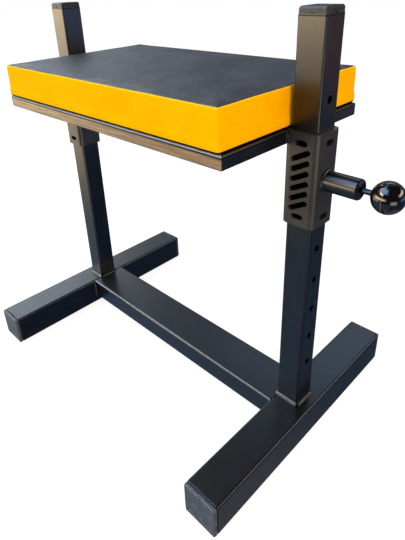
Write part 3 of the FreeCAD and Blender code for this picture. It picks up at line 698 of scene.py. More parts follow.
@dataclass
class WeldBead:
    """A fillet weld along a line: ripples like a row of laid coins, tapered at its open ends."""

    name: str
    body: str
    leg: float
    ripple: float = 2.6 * MM
    swell: float = 0.08
    fullness: float = 0.45
    lag: float = 0.55
    across: int = 9

    def build(self, corner: np.ndarray, first: np.ndarray, second: np.ndarray, closed: bool) -> bpy.types.Object:
        """Sweep the bead's section along the corner between two faces.

        The section's outer side runs from leg along the first face to leg along the second one, part
        of the way from a straight slope to a quarter circle. Ripples push it out by the absolute sine
        of the distance along the line, which lags in the middle of the bead. The section's inner side
        is the corner line itself.

        Args:
            corner: points along the corner line, one row each.
            first: unit directions out along the first face.
            second: unit directions out along the second face.
            closed: whether the line is a ring.

        Returns:
            The bead.
        """
        follow = np.roll(corner, -1, axis=0) - corner
        steps = np.linalg.norm(follow, axis=1)
        run = np.concatenate([[0.0], np.cumsum(steps)[:-1]])
        total = run[-1] + (steps[-1] if closed else 0.0)
        count = max(round(total / self.ripple), 2)
        share = np.linspace(0.0, 1.0, self.across)
        bow = np.sin(np.pi * share)
        phase = np.pi * count * (run[:, None] / total - self.lag * self.ripple / total * bow[None, :])
        relief = np.abs(np.sin(phase))
        taper = np.ones_like(run)
        if not closed:
            ends = np.minimum(run, total - run) / self.leg
            taper = np.sqrt(np.clip(1 - (1 - np.clip(ends, 0, 1)) ** 2, 0, 1))
        size = self.leg * taper[:, None] * (1 - self.swell + self.swell * relief)
        lean = np.cos(share * np.pi / 2)[None, :] * size
        rise = np.sin(share * np.pi / 2)[None, :] * size
        lean = lean * self.fullness + (1 - share)[None, :] * size * (1 - self.fullness)
        rise = rise * self.fullness + share[None, :] * size * (1 - self.fullness)
        outer = (corner[:, None, :] + lean[..., None] * first[:, None, :]
                 + rise[..., None] * second[:, None, :])
        ring = np.concatenate([outer, corner[:, None, :]], axis=1)
        faces = grid_faces(len(corner), self.across + 1, wrap_rows=closed, wrap_columns=True)
        piece = make_piece(self.name, ring.reshape(-1, 3), faces, Slot.powder_coat, self.body)
        weld_doubles(piece)
        return piece


@dataclass
class Frame:
    """The welded floor frame: feet, cross beam, uprights and their weld beads."""

    upright_leg: float = 5.2 * MM
    upright_corner: float = 3.5 * MM
    beam_leg: float = 4.4 * MM
    beam_corner: float = 5.0 * MM
    beam_gap: float = 3.8 * MM
    top_leg: float = 2.6 * MM
    top_swell: float = 0.1
    top_inset: float = 1.8 * MM
    top_sink: float = 1.5 * MM
    spacing: float = 0.25 * MM

    def outline(self, size_a: float, size_b: float, corner: float) -> tuple[np.ndarray, np.ndarray]:
        """Return the outline of a tube at the beads' even spacing, with its outward directions."""
        sides = (round((size_a - 2 * corner) / self.spacing), round((size_b - 2 * corner) / self.spacing))
        return rounded_ring(size_a / 2, size_b / 2, corner, sides)

    def upright_bead(self, side: str) -> None:
        """Weld one upright to its foot all the way round.

        Args:
            side: the upright's side.
        """
        low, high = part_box(f"upright_{side}")
        flat, out = self.outline(high.x - low.x, high.y - low.y, self.upright_corner)
        centre = np.array([(low.x + high.x) / 2, (low.y + high.y) / 2])
        corner = np.column_stack([flat + centre, np.full(len(flat), low.z)])
        first = np.column_stack([out, np.zeros(len(flat))])
        bead = WeldBead(f"upright_bead_{side}", "base", self.upright_leg)
        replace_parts(bead.build(corner, first, facing((0, 0, 1), len(flat)), True), f"upright_weld_{side}")

    def beam_bead(self, side: str, sign: int) -> None:
        """Weld one end of the cross beam to its foot: round three sides, and a low bead on top.

        Args:
            side: the side of that end.
            sign: the way to it along X.
        """
        low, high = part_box("cross_beam")
        face_x = sign * high.x
        flat, out = self.outline(high.y - low.y, high.z - low.z, self.beam_corner)
        centre = np.array([(low.y + high.y) / 2, (low.z + high.z) / 2])
        flat = flat + centre
        start = int(np.argmax(np.where(flat[:, 1] > high.z - TINY, -flat[:, 0], -np.inf)))
        flat, out = np.roll(flat, -start, axis=0), np.roll(out, -start, axis=0)
        keep = flat[:, 1] < high.z - self.beam_gap
        flat, out = flat[keep], out[keep]
        corner = np.column_stack([np.full(len(flat), face_x), flat])
        first = np.column_stack([np.zeros(len(flat)), out])
        bead = WeldBead(f"beam_bead_{side}", "base", self.beam_leg)
        under = bead.build(corner, first, facing((-sign, 0, 0), len(flat)), False)
        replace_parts(under, f"beam_weld_{side}")
        reach = (high.y - low.y) / 2 - self.beam_corner
        along = np.arange(-reach, reach, self.spacing)
        top = np.column_stack([np.full(len(along), face_x + sign * self.top_inset), along + centre[0],
                               np.full(len(along), high.z - self.top_sink)])
        rise = facing((0, 0, 1), len(along))
        for way, word in ((sign, "out"), (-sign, "in")):
            bead = WeldBead(f"beam_top_bead_{side}_{word}", "base", self.top_leg, swell=self.top_swell)
            half = bead.build(top, facing((way, 0, 0), len(along)), rise, False)
            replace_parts(half, f"beam_weld_{side}")

    def build(self) -> None:
        """Make every bead of the floor frame."""
        for side, sign in SIDES:
            self.upright_bead(side)
            self.beam_bead(side, sign)


@dataclass
class FootCaps:
    """The feet's plastic end caps: ribbed plugs whose bevelled heads frame a sunken face.

    Each row of plug and head is a distance in from the tube's outer faces and a height beyond the
    tube's mouth, both in millimetres; the first and the last ring shrink to a point.
    """

    corner: float = 4.0 * MM
    least_corner: float = 0.8 * MM
    side_steps: int = 14
    plug: tuple[Pair, ...] = (
        (31.75, -3.0), (6.6, -3.0), (6.4, -3.4), (6.4, -21.6), (6.0, -22.0), (4.5, -22.0), (4.2, -21.6),
        (4.2, -17.6), (3.15, -17.2), (3.15, -15.8), (4.2, -15.4), (4.2, -12.1), (3.15, -11.7),
        (3.15, -10.3), (4.2, -9.9), (4.2, -6.6), (3.15, -6.2), (3.15, -4.8), (4.2, -4.4), (4.2, -0.2))
    head: tuple[Pair, ...] = (
        (3.0, 0.05), (2.6, 0.1), (2.6, 2.3), (2.3, 2.6), (0.7, 2.75), (0.35, 2.9), (0.2, 3.3), (0.25, 5.0),
        (0.4, 6.8), (0.7, 7.8), (1.2, 8.55), (1.8, 9.0), (2.3, 9.0), (2.6, 8.7), (2.9, 8.3), (3.5, 8.1),
        (6.5, 8.1), (12.0, 8.2), (20.0, 8.3), (28.0, 8.35), (31.75, 8.35))
    lip_radius: float = 1.0 * MM
    lip_shift: float = 0.3
    lip_sides: int = 10

    def ring(self, side: str, end: int, inset: float, corner: float, height: float) -> np.ndarray:
        """Walk round a rounded square inside a foot's outline.

        Args:
            side: the side of the foot.
            end: -1 at the front, 1 at the back.
            inset: how far the square lies in from the tube's outer faces.
            corner: its corners' radius, cut down where the square is smaller.
            height: how far it lies beyond the tube's mouth.

        Returns:
            The ring's points, one row each.
        """
        low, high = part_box(f"foot_{side}")
        half = (high.z - low.z) / 2
        mouth = high.y if end > 0 else -low.y
        reach = half - inset
        flat, _ = rounded_ring(reach, reach, min(corner, reach), (self.side_steps, self.side_steps))
        return np.column_stack([flat[:, 0] + (low.x + high.x) / 2, np.full(len(flat), end * (mouth + height)),
                                flat[:, 1] + half])

    def lip(self, side: str, word: str, end: int) -> None:
        """Round off one mouth of a foot's tube with a thin roll of paint, a circle swept round it.

        Args:
            side: the side of the foot.
            word: the name of the foot's end.
            end: the way to that end along Y.
        """
        rings = [self.ring(side, end, self.lip_radius * (1 - math.cos(angle)), self.corner,
                           self.lip_radius * (self.lip_shift + math.sin(angle)))
                 for angle in np.linspace(0, 2 * np.pi, self.lip_sides, endpoint=False)]
        faces = grid_faces(len(rings), len(rings[0]), wrap_rows=True, wrap_columns=True)
        weld_doubles(make_piece(f"foot_lip_{side}_{word}", np.concatenate(rings), faces, Slot.powder_coat, "base"))

    def cap(self, side: str, word: str, end: int) -> None:
        """Loft one cap through its rings.

        Args:
            side: the side of the foot.
            word: the name of the foot's end.
            end: the way to that end along Y.
        """
        rings = [self.ring(side, end, inset * MM, max(self.corner - inset * MM, self.least_corner), height * MM)
                 for inset, height in self.plug + self.head]
        faces = grid_faces(len(rings), len(rings[0]), wrap_columns=True)
        piece = make_piece(f"foot_plug_{side}_{word}", np.concatenate(rings), faces, Slot.cap_plastic, "base",
                           FOOT_CAP)
        weld_doubles(piece)
        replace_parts(piece, f"foot_cap_{word}_{side}")

    def build(self) -> None:
        """Make the four caps and the rolls at the mouths that they fill."""
        for side, _ in SIDES:
            for word, end in ENDS:
                self.cap(side, word, end)
                self.lip(side, word, end)


@dataclass
class Carriage:
    """The sliding carriage: weld beads of its sleeves and pin barrels, and near-black strips in the sleeves that
    paint the shade behind their slots.
    """

    barrel_leg: float = 3.2 * MM
    barrel_steps: int = 300
    groove_leg: float = 7.0 * MM
    groove_depth: float = 2.0 * MM
    groove_tilt: float = math.radians(18)
    groove_overrun: float = 0.5 * MM
    groove_spacing: float = 0.2 * MM
    sleeve_wall: float = 5.5 * MM
    liner_width: float = 34.0 * MM
    liner_thickness: float = 0.3 * MM
    liner_corner: float = 0.135 * MM
    liner_offset: float = 0.18 * MM
    liner_end: float = 32.0 * MM
    liner_inset: float = 1.0 * MM
    liner_steps: int = 24
    liner_sides: tuple[int, int] = (12, 2)

    def liner(self, side: str, sign: int) -> None:
        """Line one sleeve with thin near-black strips behind its slots, clear of the pin: painted shade in the
        slots.

        Args:
            side: the side of the sleeve.
            sign: the way to it along X.
        """
        low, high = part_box(f"sleeve_{side}")
        centre = np.array([(low.x + high.x) / 2, (low.y + high.y) / 2])
        reach = (high.y - low.y) / 2 - self.sleeve_wall - self.liner_offset
        bottom, top = low.z + self.liner_inset, high.z - self.liner_inset
        strips = {"front": ((0, -1), bottom, top), "back": ((0, 1), bottom, top),
                  "low": ((sign, 0), bottom, bottom + self.liner_end),
                  "high": ((sign, 0), top - self.liner_end, top)}
        flat, _ = rounded_ring(self.liner_width / 2, self.liner_thickness / 2, self.liner_corner,
                               self.liner_sides)
        shares = np.concatenate([[0.0], np.ones(self.liner_steps), [0.0]])
        for word, (way, start, end) in strips.items():
            out = np.array(way, float)
            middle = centre + out * reach
            spread = flat[:, :1] * np.array([-out[1], out[0]]) + flat[:, 1:] * out
            rises = np.concatenate([[start], np.linspace(start, end, self.liner_steps), [end]])
            rings = [np.column_stack([middle + spread * share, np.full(len(flat), rise)])
                     for rise, share in zip(rises, shares)]
            faces = grid_faces(len(rings), len(flat), wrap_columns=True)
            weld_doubles(make_piece(f"sleeve_liner_{side}_{word}", np.concatenate(rings), faces,
                                    Slot.cap_plastic, "carriage", SLOT_SHADE_PLASTIC))

    def barrel_bead(self, side: str, sign: int) -> None:
        """Weld one pin barrel to its sleeve all the way round.

        Args:
            side: the side of the sleeve.
            sign: the way to it along X.
        """
        low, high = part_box(f"pin_barrel_{side}")
        radius = (high.y - low.y) / 2
        centre_y, centre_z = (low.y + high.y) / 2, (low.z + high.z) / 2
        face_x = low.x if sign > 0 else high.x
        angle = np.linspace(0, 2 * np.pi, self.barrel_steps, endpoint=False)
        out = np.column_stack([np.zeros(self.barrel_steps), np.cos(angle), np.sin(angle)])
        corner = np.array([face_x, centre_y, centre_z]) + radius * out
        bead = WeldBead(f"barrel_bead_{side}", "carriage", self.barrel_leg)
        ring = bead.build(corner, out, facing((sign, 0, 0), self.barrel_steps), True)
        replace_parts(ring, f"barrel_weld_{side}")

    def groove_bead(self, side: str, sign: int) -> None:
        """Fill the two grooves between one sleeve's round edges and the seat frame.

        Args:
            side: the side of the sleeve.
            sign: the way to it along X.
        """
        low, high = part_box(f"sleeve_{side}")
        weld_low, weld_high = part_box(f"sleeve_weld_{side}")
        rail_low, rail_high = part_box(f"seat_rail_{side}")
        rail_x = rail_high.x if sign > 0 else rail_low.x
        centre_y = (low.y + high.y) / 2
        rise = np.arange(weld_low.z - self.groove_overrun, weld_high.z + self.groove_overrun,
                         self.groove_spacing)
        for word, end in ENDS:
            root = (rail_x, centre_y + end * ((high.y - low.y) / 2 - self.groove_depth))
            corner = np.column_stack([facing(root, len(rise)), rise])
            slope = (sign * math.cos(self.groove_tilt), end * math.sin(self.groove_tilt), 0)
            bead = WeldBead(f"groove_bead_{side}_{word}", "carriage", self.groove_leg)
            filled = bead.build(corner, facing((0, end, 0), len(rise)), facing(slope, len(rise)), False)
            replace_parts(filled, f"sleeve_weld_{side}")

    def build(self) -> None:
        """Make every bead and strip of the carriage."""
        for side, sign in SIDES:
            self.barrel_bead(side, sign)
            self.groove_bead(side, sign)
            self.liner(side, sign)


CLOTH = {"quality": 6, "mass": 0.3, "tension_stiffness": 18, "compression_stiffness": 18, "shear_stiffness": 8,
         "bending_stiffness": 1.5, "use_pressure": True, "uniform_pressure_force": 4,
         "vertex_group_mass": "held"}


@dataclass
class SeatPad:
    """The upholstered pad: a black crowned top panel sewn to a yellow band that folds under the board.

    Rows of roll are distances out from the seam and up from it; rows of bend are distances in from
    the band's side and up from the pad's bottom; rows of waves are a count of waves round the pad,
    a phase and a share. Rolls, bends and edge steps are in millimetres.
    """

    corner: float = 2.6 * MM
    seam_inset: float = 2.6 * MM
    seam_drop: float = 4.3 * MM
    seam_tuck: float = 0.9 * MM
    roll: tuple[Pair, ...] = (
        (0.1, 0.2), (0.3, 0.75), (0.85, 1.1), (1.5, 0.85), (1.95, 0.2), (2.05, -0.6), (1.9, -1.15),
        (2.0, -1.7), (2.3, -2.4), (2.5, -3.6))
    bulge: float = 0.5 * MM
    flank: Pair = (0.91, 0.09)
    flank_rows: int = 15
    bend: tuple[Pair, ...] = (
        (0.25, 2.9), (0.9, 1.6), (1.9, 0.65), (3.1, 0.15), (4.5, 0.0), (14.0, 0.0))
    hem: float = 27.0 * MM
    crown: float = 2.4 * MM
    crown_power: float = 2.4
    shoulder: float = 1.5 * MM
    shoulder_width: float = 1.6 * MM
    step: float = 8.0 * MM
    edge_steps: tuple[float, ...] = (0.0, 0.7, 1.5, 2.4, 3.6, 5.2, 7.5, 10.5, 14.5, 20.0)
    waves: tuple[Triple, ...] = ((9, 0.4, 1.0), (17, 2.1, 0.7), (31, 4.0, 0.5), (53, 1.2, 0.35))
    wave_total: float = 2.55
    wave_height: float = 0.45 * MM
    wave_fade: float = 4.0
    held_height: float = 14.0 * MM
    swell_frames: int = 20
    swell_cap: float = 2.2 * MM
    skin: float = 0.8 * MM

    def __post_init__(self) -> None:
        """Take the pad's place from its CAD covers."""
        low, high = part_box("seat_side_cover")
        self.bottom = low.z
        self.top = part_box("seat_top_cover")[1].z
        self.half_x = (high.x - low.x) / 2
        self.half_y = (high.y - low.y) / 2
        self.centre = np.array([(high.x + low.x) / 2, (high.y + low.y) / 2])
        self.seam_z = self.top - self.seam_drop

    def lines(self, half: float) -> np.ndarray:
        """Lay grid lines that are close together near the edges.

        Args:
            half: half the grid's width.

        Returns:
            The lines' places, from -half to half.
        """
        edge = np.array(self.edge_steps) * MM
        inner = half - edge[-1]
        middle = np.linspace(-inner, inner, 2 * int(inner / self.step) + 1)
        return np.concatenate([-half + edge[:-1], middle, half - edge[-2::-1]])

    def top_grid(self) -> tuple[np.ndarray, np.ndarray]:
        """Lay the top panel's grid inside the seam.

        A square corner zone is drawn onto a quarter disc by scaling each point by its larger
        coordinate over its distance, so grid rings become rounded rectangles.

        Returns:
            The plan points, rows by columns by two, and each point's distance in from the seam.
        """
        half_x, half_y = self.half_x - self.seam_inset, self.half_y - self.seam_inset
        x, y = np.meshgrid(self.lines(half_x), self.lines(half_y), indexing="ij")
        inset = np.minimum(half_x - np.abs(x), half_y - np.abs(y))
        over_x = np.clip(np.abs(x) - (half_x - self.corner), 0, None)
        over_y = np.clip(np.abs(y) - (half_y - self.corner), 0, None)
        larger = np.maximum(over_x, over_y)
        distance = np.hypot(over_x, over_y)
        scale = np.where((over_x > 0) & (over_y > 0), larger / np.maximum(distance, TINY * MM), 1.0)
        x = np.sign(x) * (np.minimum(np.abs(x), half_x - self.corner) + over_x * scale)
        y = np.sign(y) * (np.minimum(np.abs(y), half_y - self.corner) + over_y * scale)
        return np.stack([x, y], axis=2), inset

    @staticmethod
    def ring_numbers(rows: int, columns: int) -> np.ndarray:
        """Number the border points of a grid in one loop, anticlockwise seen from above."""
        table = np.arange(rows * columns).reshape(rows, columns)
        return np.concatenate([table[:-1, 0], table[-1, :-1], table[:0:-1, -1], table[0, :0:-1]])

    def band_profile(self) -> np.ndarray:
        """Return the band's section from the seam down to the hem's inner edge.

        Each row is a distance out from the seam ring and a height above the pad's bottom, in metres:
        a roll round the seam cord, a side that bulges by a sine, a tight bend at the bottom, and the
        hem turned flat under the board.

        Returns:
            The section's rows.
        """
        side = self.seam_inset
        height = self.seam_z - self.bottom
        fold = np.array(self.roll) * MM + np.array([0.0, height])
        share = np.linspace(*self.flank, self.flank_rows)
        flank = np.column_stack([side + self.bulge * np.sin(np.pi * share), height * share])
        bend = np.array(self.bend) * MM
        under = np.column_stack([side - bend[:, 0], bend[:, 1]])
        return np.concatenate([fold, flank, under, [[side - self.hem, 0.0]]])

    def crown_height(self, inset: np.ndarray) -> np.ndarray:
        """Work out the top panel's rise: a quick shoulder, then a shallow power curve.

        Args:
            inset: distances in from the seam.

        Returns:
            The heights above the seam.
        """
        shoulder = self.shoulder * (1 - np.exp(-inset / self.shoulder_width))
        share = np.clip(inset / (self.half_y - self.seam_inset), 0, 1)
        return shoulder + self.crown * (1 - (1 - share) ** self.crown_power)

    def inflate(self, points: np.ndarray, quads: list[list[int]], hem: np.ndarray,
                held: np.ndarray) -> np.ndarray:
        """Let the cover swell under pressure as cloth, and cap how far each point goes.

        A fan of triangles from the hem to one point under the board closes the skin for the time
        of the simulation. Each shift is capped by cap * tanh(length / cap).

        Args:
            points: the cover's points.
            quads: its faces.
            hem: the numbers of the points along the hem's inner edge, in order.
            held: the numbers of the points that the board holds.

        Returns:
            The points after the swelling.
        """
        middle = len(points)
        closed = np.vstack([points, points[hem].mean(axis=0)])
        fan = np.column_stack([np.roll(hem, -1), hem, np.full(len(hem), middle)])
        mesh = bpy.data.meshes.new("swelling")
        mesh.from_pydata(closed.tolist(), [], quads + fan.tolist())
        body = add_object("swelling", mesh)
        body.vertex_groups.new(name="held").add(held.tolist() + [middle], 1.0, "REPLACE")
        cloth = body.modifiers.new("cloth", "CLOTH")
        for name, value in CLOTH.items():
            setattr(cloth.settings, name, value)
        cloth.settings.effector_weights.gravity = 0
        cloth.collision_settings.use_collision = False
        cloth.point_cache.frame_start = 1
        cloth.point_cache.frame_end = self.swell_frames
        for number in range(1, self.swell_frames + 1):
            bpy.context.scene.frame_set(number)
        swollen = body.evaluated_get(bpy.context.evaluated_depsgraph_get()).data
        moved = np.empty(len(closed) * 3)
        swollen.vertices.foreach_get("co", moved)
        bpy.context.scene.frame_set(1)
        bpy.data.objects.remove(body)
        bpy.data.meshes.remove(mesh)
        shift = moved.reshape(-1, 3)[:middle] - points
        length = np.maximum(np.linalg.norm(shift, axis=1, keepdims=True), TINY * MM)
        LOG.info("cover swelled by up to %.1f mm", length.max() / MM)
        return points + shift * self.swell_cap * np.tanh(length / self.swell_cap) / length

    def gather(self, around: np.ndarray, total: float) -> np.ndarray:
        """Return how the seam wavers along its run: summed sines with fixed phases, from -1 to 1."""
        turn = 2 * np.pi * around / total
        return sum(share * np.sin(count * turn + phase) for count, phase, share in self.waves) / self.wave_total

    def build(self) -> None:
        """Make the cover as one skin, let it swell, and part it at the seam."""
        plan, inset = self.top_grid()
        rows, columns = inset.shape
        flat = plan.reshape(-1, 2)
        top = np.column_stack([flat + self.centre, self.seam_z + self.crown_height(inset.ravel())])
        loop = self.ring_numbers(rows, columns)
        ring = flat[loop]
        ahead = np.roll(ring, -1, axis=0) - np.roll(ring, 1, axis=0)
        out = np.column_stack([ahead[:, 1], -ahead[:, 0]])
        out /= np.linalg.norm(out, axis=1, keepdims=True)
        run = np.concatenate([[0.0], np.cumsum(np.linalg.norm(np.diff(ring, axis=0), axis=1))])
        waver = self.wave_height * self.gather(run, run[-1])
        top[loop, 2] += waver
        profile = self.band_profile()
        fade = np.exp(-np.arange(len(profile)) / self.wave_fade)
        level = ring[None] + profile[:, :1, None] * out[None] + self.centre
        height = self.bottom + profile[:, 1][:, None] + waver[None] * fade[:, None]
        band = np.concatenate([level, height[..., None]], axis=2)
        count = len(loop)
        points = np.concatenate([top, band.reshape(-1, 3)])
        numbers = np.concatenate([loop[None], len(top) + np.arange(band.shape[0] * count).reshape(-1, count)])
        top_faces = grid_faces(rows, columns)[:, ::-1]
        band_faces = numbers.ravel()[grid_faces(len(numbers), count, wrap_columns=True)][:, ::-1]
        held = np.flatnonzero(points[:, 2] < self.bottom + self.held_height)
        points = self.inflate(points, top_faces.tolist() + band_faces.tolist(), numbers[-1], held)
        self.dress(points, top_faces, band_faces, len(top), numbers[0])

    def dress(self, points: np.ndarray, top_faces: np.ndarray, band_faces: np.ndarray, parted: int,
              seam: np.ndarray) -> None:
        """Part the skin at the seam and make its two panels, each with a wall that closes it.

        Args:
            points: the whole skin's points.
            top_faces: the top panel's quads.
            band_faces: the band's quads.
            parted: the number of points that belong to the top panel.
            seam: the numbers of the seam's points.
        """
        top = points[:parted].copy()
        top[seam, 2] -= self.seam_tuck
        panel = make_piece("pad_top_panel", top, top_faces, Slot.black_vinyl, "carriage")
        used = np.unique(band_faces)
        renumber = np.zeros(len(points), int)
        renumber[used] = np.arange(len(used))
        band_points = points[used].copy()
        band_points[renumber[seam], 2] -= self.seam_tuck
        band = make_piece("pad_side_band", band_points, renumber[band_faces], Slot.yellow_vinyl, "carriage")
        for piece, node in ((panel, "seat_top_cover"), (band, "seat_side_cover")):
            smooth = piece.modifiers.new("smooth", "SUBSURF")
            smooth.levels = smooth.render_levels = 1
            wall = piece.modifiers.new("wall", "SOLIDIFY")
            wall.thickness = self.skin
            wall.offset = -1.0
            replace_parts(piece, node)
        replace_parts(panel, "seat_foam")


def dress_nodes() -> None:
    """Give each CAD node that stays in view its own finish, or its slot's."""
    slots = {part["node"]: part["material_slot"] for part in frame["record"]["subparts"]}
    for name, thing in frame["nodes"].items():
        material = SPECIAL.get(name, Slot[slots[name]].value).material()
        if not thing.material_slots:
            thing.data.materials.append(material)
        for place in thing.material_slots:
            place.material = material
    LOG.info("dressed %d CAD nodes", len(slots))


@dataclass(frozen=True)
class Card:
    """A soft-edged patch of the studio that only reflections see."""

    aim: Triple
    spread: Pair
    bottom: Pair
    top: Pair
    colour: Colour

    def share(self, shader: Shader, way: Field) -> Field:
        """Return how much of a direction the card fills.

        It is the product of three smooth steps: one on the cosine between the direction's level
        part and the aim, and two on the sine of the direction's rise.

        Args:
            shader: the world's nodes.
            way: the direction.

        Returns:
            The share, from 0 to 1.
        """
        _, _, rise = shader.axes(way)
        level = shader.vector("NORMALIZE", shader.vector("MULTIPLY", way, (1.0, 1.0, 0.0)))
        beside = shader.vector("DOT_PRODUCT", level, self.aim, output="Value")
        return beside.smooth(*self.spread) * rise.smooth(*self.bottom) * (1.0 - rise.smooth(*self.top))


@dataclass
class Studio:
    """Floor, world, lamps and camera; the camera's middle and focal length are in pixels."""

    gloom: Colour = (0.02, 0.025, 0.035, 1.0)
    cards: tuple[Card, ...] = (
        Card((-0.60, -0.80, 0.0), (-0.2, 0.6), (-1.4, -1.2), (-0.46, -0.30), (0.18, 0.30, 0.49, 1.0)),
        Card((0.60, 0.80, 0.0), (-0.3, 0.3), (-1.4, -1.2), (-0.02, 0.1), (0.07, 0.10, 0.15, 1.0)),
        Card((0.60, 0.80, 0.0), (0.0, 0.5), (-1.4, -1.2), (-0.85, -0.72), (0.22, 0.24, 0.27, 1.0)),
        Card((0.49, 0.87, 0.0), (0.9, 0.98), (-0.3, -0.1), (0.0, 0.1), (0.30, 0.14, 0.10, 1.0)),
        Card((0.85, 0.52, 0.0), (0.9, 0.98), (-0.3, -0.1), (0.0, 0.1), (0.55, 0.78, 1.45, 1.0)),
        Card((0.85, 0.52, 0.0), (0.88, 0.92), (-0.8, -0.6), (-0.3, -0.1), (0.03, 0.09, 0.19, 1.0)),
        Card((-0.80, 0.60, 0.0), (0.1, 0.7), (0.0, 0.1), (0.90, 1.0), (0.17, 0.19, 0.22, 1.0)),
        Card((-0.97, 0.24, 0.0), (0.84, 0.99), (0.0, 0.08), (0.45, 0.6), (1.1, 1.2, 1.32, 1.0)),
        Card((-0.38, 0.93, 0.0), (0.90, 1.0), (0.55, 0.64), (0.66, 0.77), (1.5, 2.05, 2.9, 1.0)),
        Card((-0.95, 0.32, 0.0), (0.965, 1.0), (0.42, 0.54), (0.60, 0.68), (4.0, 4.5, 5.1, 1.0)),
        Card((-0.87, -0.49, 0.0), (0.85, 0.97), (-0.42, -0.24), (-0.14, -0.05), (2.7, 2.25, 1.55, 1.0)),
        Card((-0.55, -0.84, 0.0), (0.65, 1.0), (-0.14, -0.03), (0.04, 0.22), (10.0, 7.9, 5.1, 1.0)),
        Card((-0.75, -0.66, 0.0), (0.80, 0.97), (0.38, 0.47), (0.57, 0.64), (13.0, 13.8, 14.6, 1.0)),
        Card((-0.75, -0.66, 0.0), (0.3, 0.9), (0.6, 0.7), (0.90, 0.99), (2.7, 3.9, 6.0, 1.0)),
        Card((0.83, 0.55, 0.0), (0.80, 1.0), (0.22, 0.34), (0.42, 0.52), (6.5, 5.7, 4.5, 1.0)),
        Card((0.85, -0.53, 0.0), (0.90, 1.0), (-0.5, -0.34), (-0.18, 0.0), (3.2, 2.9, 2.4, 1.0)),
    )
    sky: Colour = (0.92, 0.96, 1.0, 1.0)
    sky_strength: float = 0.46
    floor_reach: float = 12.0
    floor_light: Colour = (0.86, 0.86, 0.86, 1.0)
    floor_shown: Colour = (0.42, 0.45, 0.47, 1.0)
    floor_glow: float = 0.82
    white: Colour = (1.0, 1.0, 1.0, 1.0)
    camera_place: Triple = (0.62803, -0.54821, 0.75133)
    azimuth: float = 46.424
    elevation: float = 25.952
    roll: float = -2.616
    focal_pixels: float = 472.74
    middle: Pair = (190.72, 205.95)
    picture: tuple[int, int] = (405, 540)
    sensor: float = 36.0
    nearest: float = 0.01
    lamp_target: Triple = (0.0, 0.0, 0.4)

    @staticmethod
    def stand(thing: bpy.types.Object, side: np.ndarray, rise: np.ndarray, back: np.ndarray,
              place: Triple) -> None:
        """Put a camera or a lamp in its place, with its own axes along three directions."""
        rows = np.column_stack([side, rise, back, np.array(place)])
        thing.matrix_world = Matrix(rows.tolist() + [[0.0, 0.0, 0.0, 1.0]])

    def camera(self) -> None:
        """Set the camera where the photograph was taken."""
        turn, tilt, lean = (math.radians(a) for a in (self.azimuth, self.elevation, self.roll))
        back = np.array([math.sin(turn) * math.cos(tilt), -math.cos(turn) * math.cos(tilt), math.sin(tilt)])
        right = np.array([math.cos(turn), math.sin(turn), 0.0])
        up = np.cross(back, right)
        side = right * math.cos(lean) + up * math.sin(lean)
        rise = up * math.cos(lean) - right * math.sin(lean)
        data = bpy.data.cameras.new("camera")
        longest = max(self.picture)
        data.sensor_width = self.sensor
        data.lens = self.focal_pixels * self.sensor / longest
        data.shift_x = (self.picture[0] / 2 - self.middle[0]) / longest
        data.shift_y = (self.middle[1] - self.picture[1] / 2) / longest
        data.clip_start = self.nearest
        thing = add_object("camera", data)
        self.stand(thing, side, rise, back, self.camera_place)
        bpy.context.scene.camera = thing

    def floor(self) -> None:
        """Lay a pale floor that keeps the shadow and is clear from below."""
        line = np.linspace(-self.floor_reach, self.floor_reach, 3)
        x, y = np.meshgrid(line, line, indexing="ij")
        points = np.column_stack([x.ravel(), y.ravel(), np.zeros(x.size)])
        mesh = bpy.data.meshes.new("floor")
        mesh.from_pydata(points.tolist(), [], grid_faces(3, 3)[:, ::-1].tolist())
        material = bpy.data.materials.new("floor_paper")
        material.use_nodes = True
        shader = Shader(material.node_tree)
        seen = shader.node("ShaderNodeLightPath", {}, {}, "Is Camera Ray")
        paper = shader.node("ShaderNodeBsdfDiffuse", {}, {"Color": self.floor_light})
        shown = shader.node("ShaderNodeBsdfDiffuse", {}, {"Color": self.floor_shown})
        glow = shader.node("ShaderNodeEmission", {}, {"Color": self.white, "Strength": self.floor_glow})
        both = shader.node("ShaderNodeAddShader", {}, {0: shown, 1: glow})
        above = shader.node("ShaderNodeMixShader", {}, {0: seen, 1: paper, 2: both})
        below = shader.node("ShaderNodeNewGeometry", {}, {}, "Backfacing")
        clear = shader.node("ShaderNodeBsdfTransparent", {}, {})
        shader.end(shader.node("ShaderNodeMixShader", {}, {0: below, 1: above, 2: clear}))
        mesh.materials.append(material)
        thing = add_object("floor", mesh)
        thing.visible_glossy = False

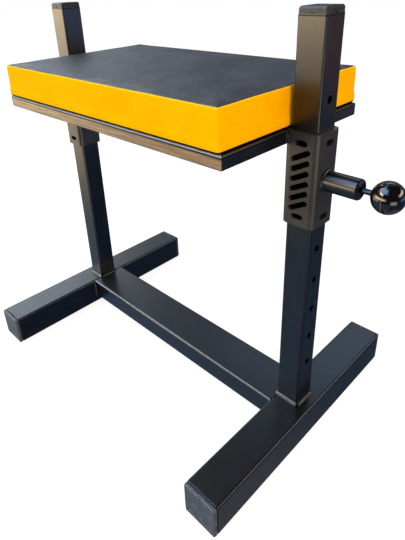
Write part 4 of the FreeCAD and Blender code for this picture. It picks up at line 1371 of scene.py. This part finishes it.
    def world(self) -> None:
        """White backdrop for the camera, even light for diffuse rays, a soft studio for reflections."""
        world = bpy.data.worlds.new("studio")
        bpy.context.scene.world = world
        world.use_nodes = True
        shader = Shader(world.node_tree)
        way = shader.node("ShaderNodeTexCoord", {}, {}, "Generated")
        colour: Field | Colour = self.gloom
        for card in self.cards:
            colour = shader.blend(card.share(shader, way), colour, card.colour)
        path = shader.node("ShaderNodeLightPath", {}, {}, "Is Camera Ray")
        outputs = path.socket.node.outputs
        shown = path + Field(shader, outputs["Is Glossy Ray"]) + Field(shader, outputs["Is Transmission Ray"])
        even = shader.node("ShaderNodeBackground", {}, {"Color": self.sky, "Strength": self.sky_strength})
        seen = shader.node("ShaderNodeBackground", {}, {"Color": shader.blend(path, colour, self.white)})
        mixed = shader.node("ShaderNodeMixShader", {}, {0: shown, 1: even, 2: seen})
        shader.end(mixed, "ShaderNodeOutputWorld")

    def lamp(self, name: str, place: Triple, size: float, watts: float, colour: Triple) -> None:
        """Hang a soft square lamp that looks at the seat's middle and that reflections don't see.

        Args:
            name: the lamp's name.
            place: where it hangs.
            size: the length of its sides.
            watts: its power.
            colour: its colour.
        """
        data = bpy.data.lights.new(name, "AREA")
        data.shape = "SQUARE"
        data.size = size
        data.energy = watts
        data.color = colour
        thing = add_object(name, data)
        away = np.array(place) - np.array(self.lamp_target)
        away = away / np.linalg.norm(away)
        side = np.cross([0.0, 0.0, 1.0], away)
        side = side / np.linalg.norm(side)
        self.stand(thing, side, np.cross(away, side), away, place)
        thing.visible_camera = False
        thing.visible_glossy = False

    def build(self) -> None:
        """Set up the whole studio."""
        self.camera()
        self.floor()
        self.world()
        self.lamp("key", (-1.6, -2.2, 2.6), 1.8, 60.0, (1.0, 0.98, 0.95))
        self.lamp("fill", (2.4, -1.0, 1.6), 1.6, 50.0, (1.0, 0.55, 0.32))
        bpy.context.scene.view_settings.view_transform = "Standard"
        LOG.info("studio ready")


def main() -> None:
    """Build the looks piece by piece."""
    logging.basicConfig(level=logging.INFO)
    builders: tuple[Callable[[], None], ...] = (dress_nodes, SeatPad().build, Frame().build, FootCaps().build,
                                                Carriage().build, Studio().build)
    for build in builders:
        build()


if __name__ == "__main__":
    main()
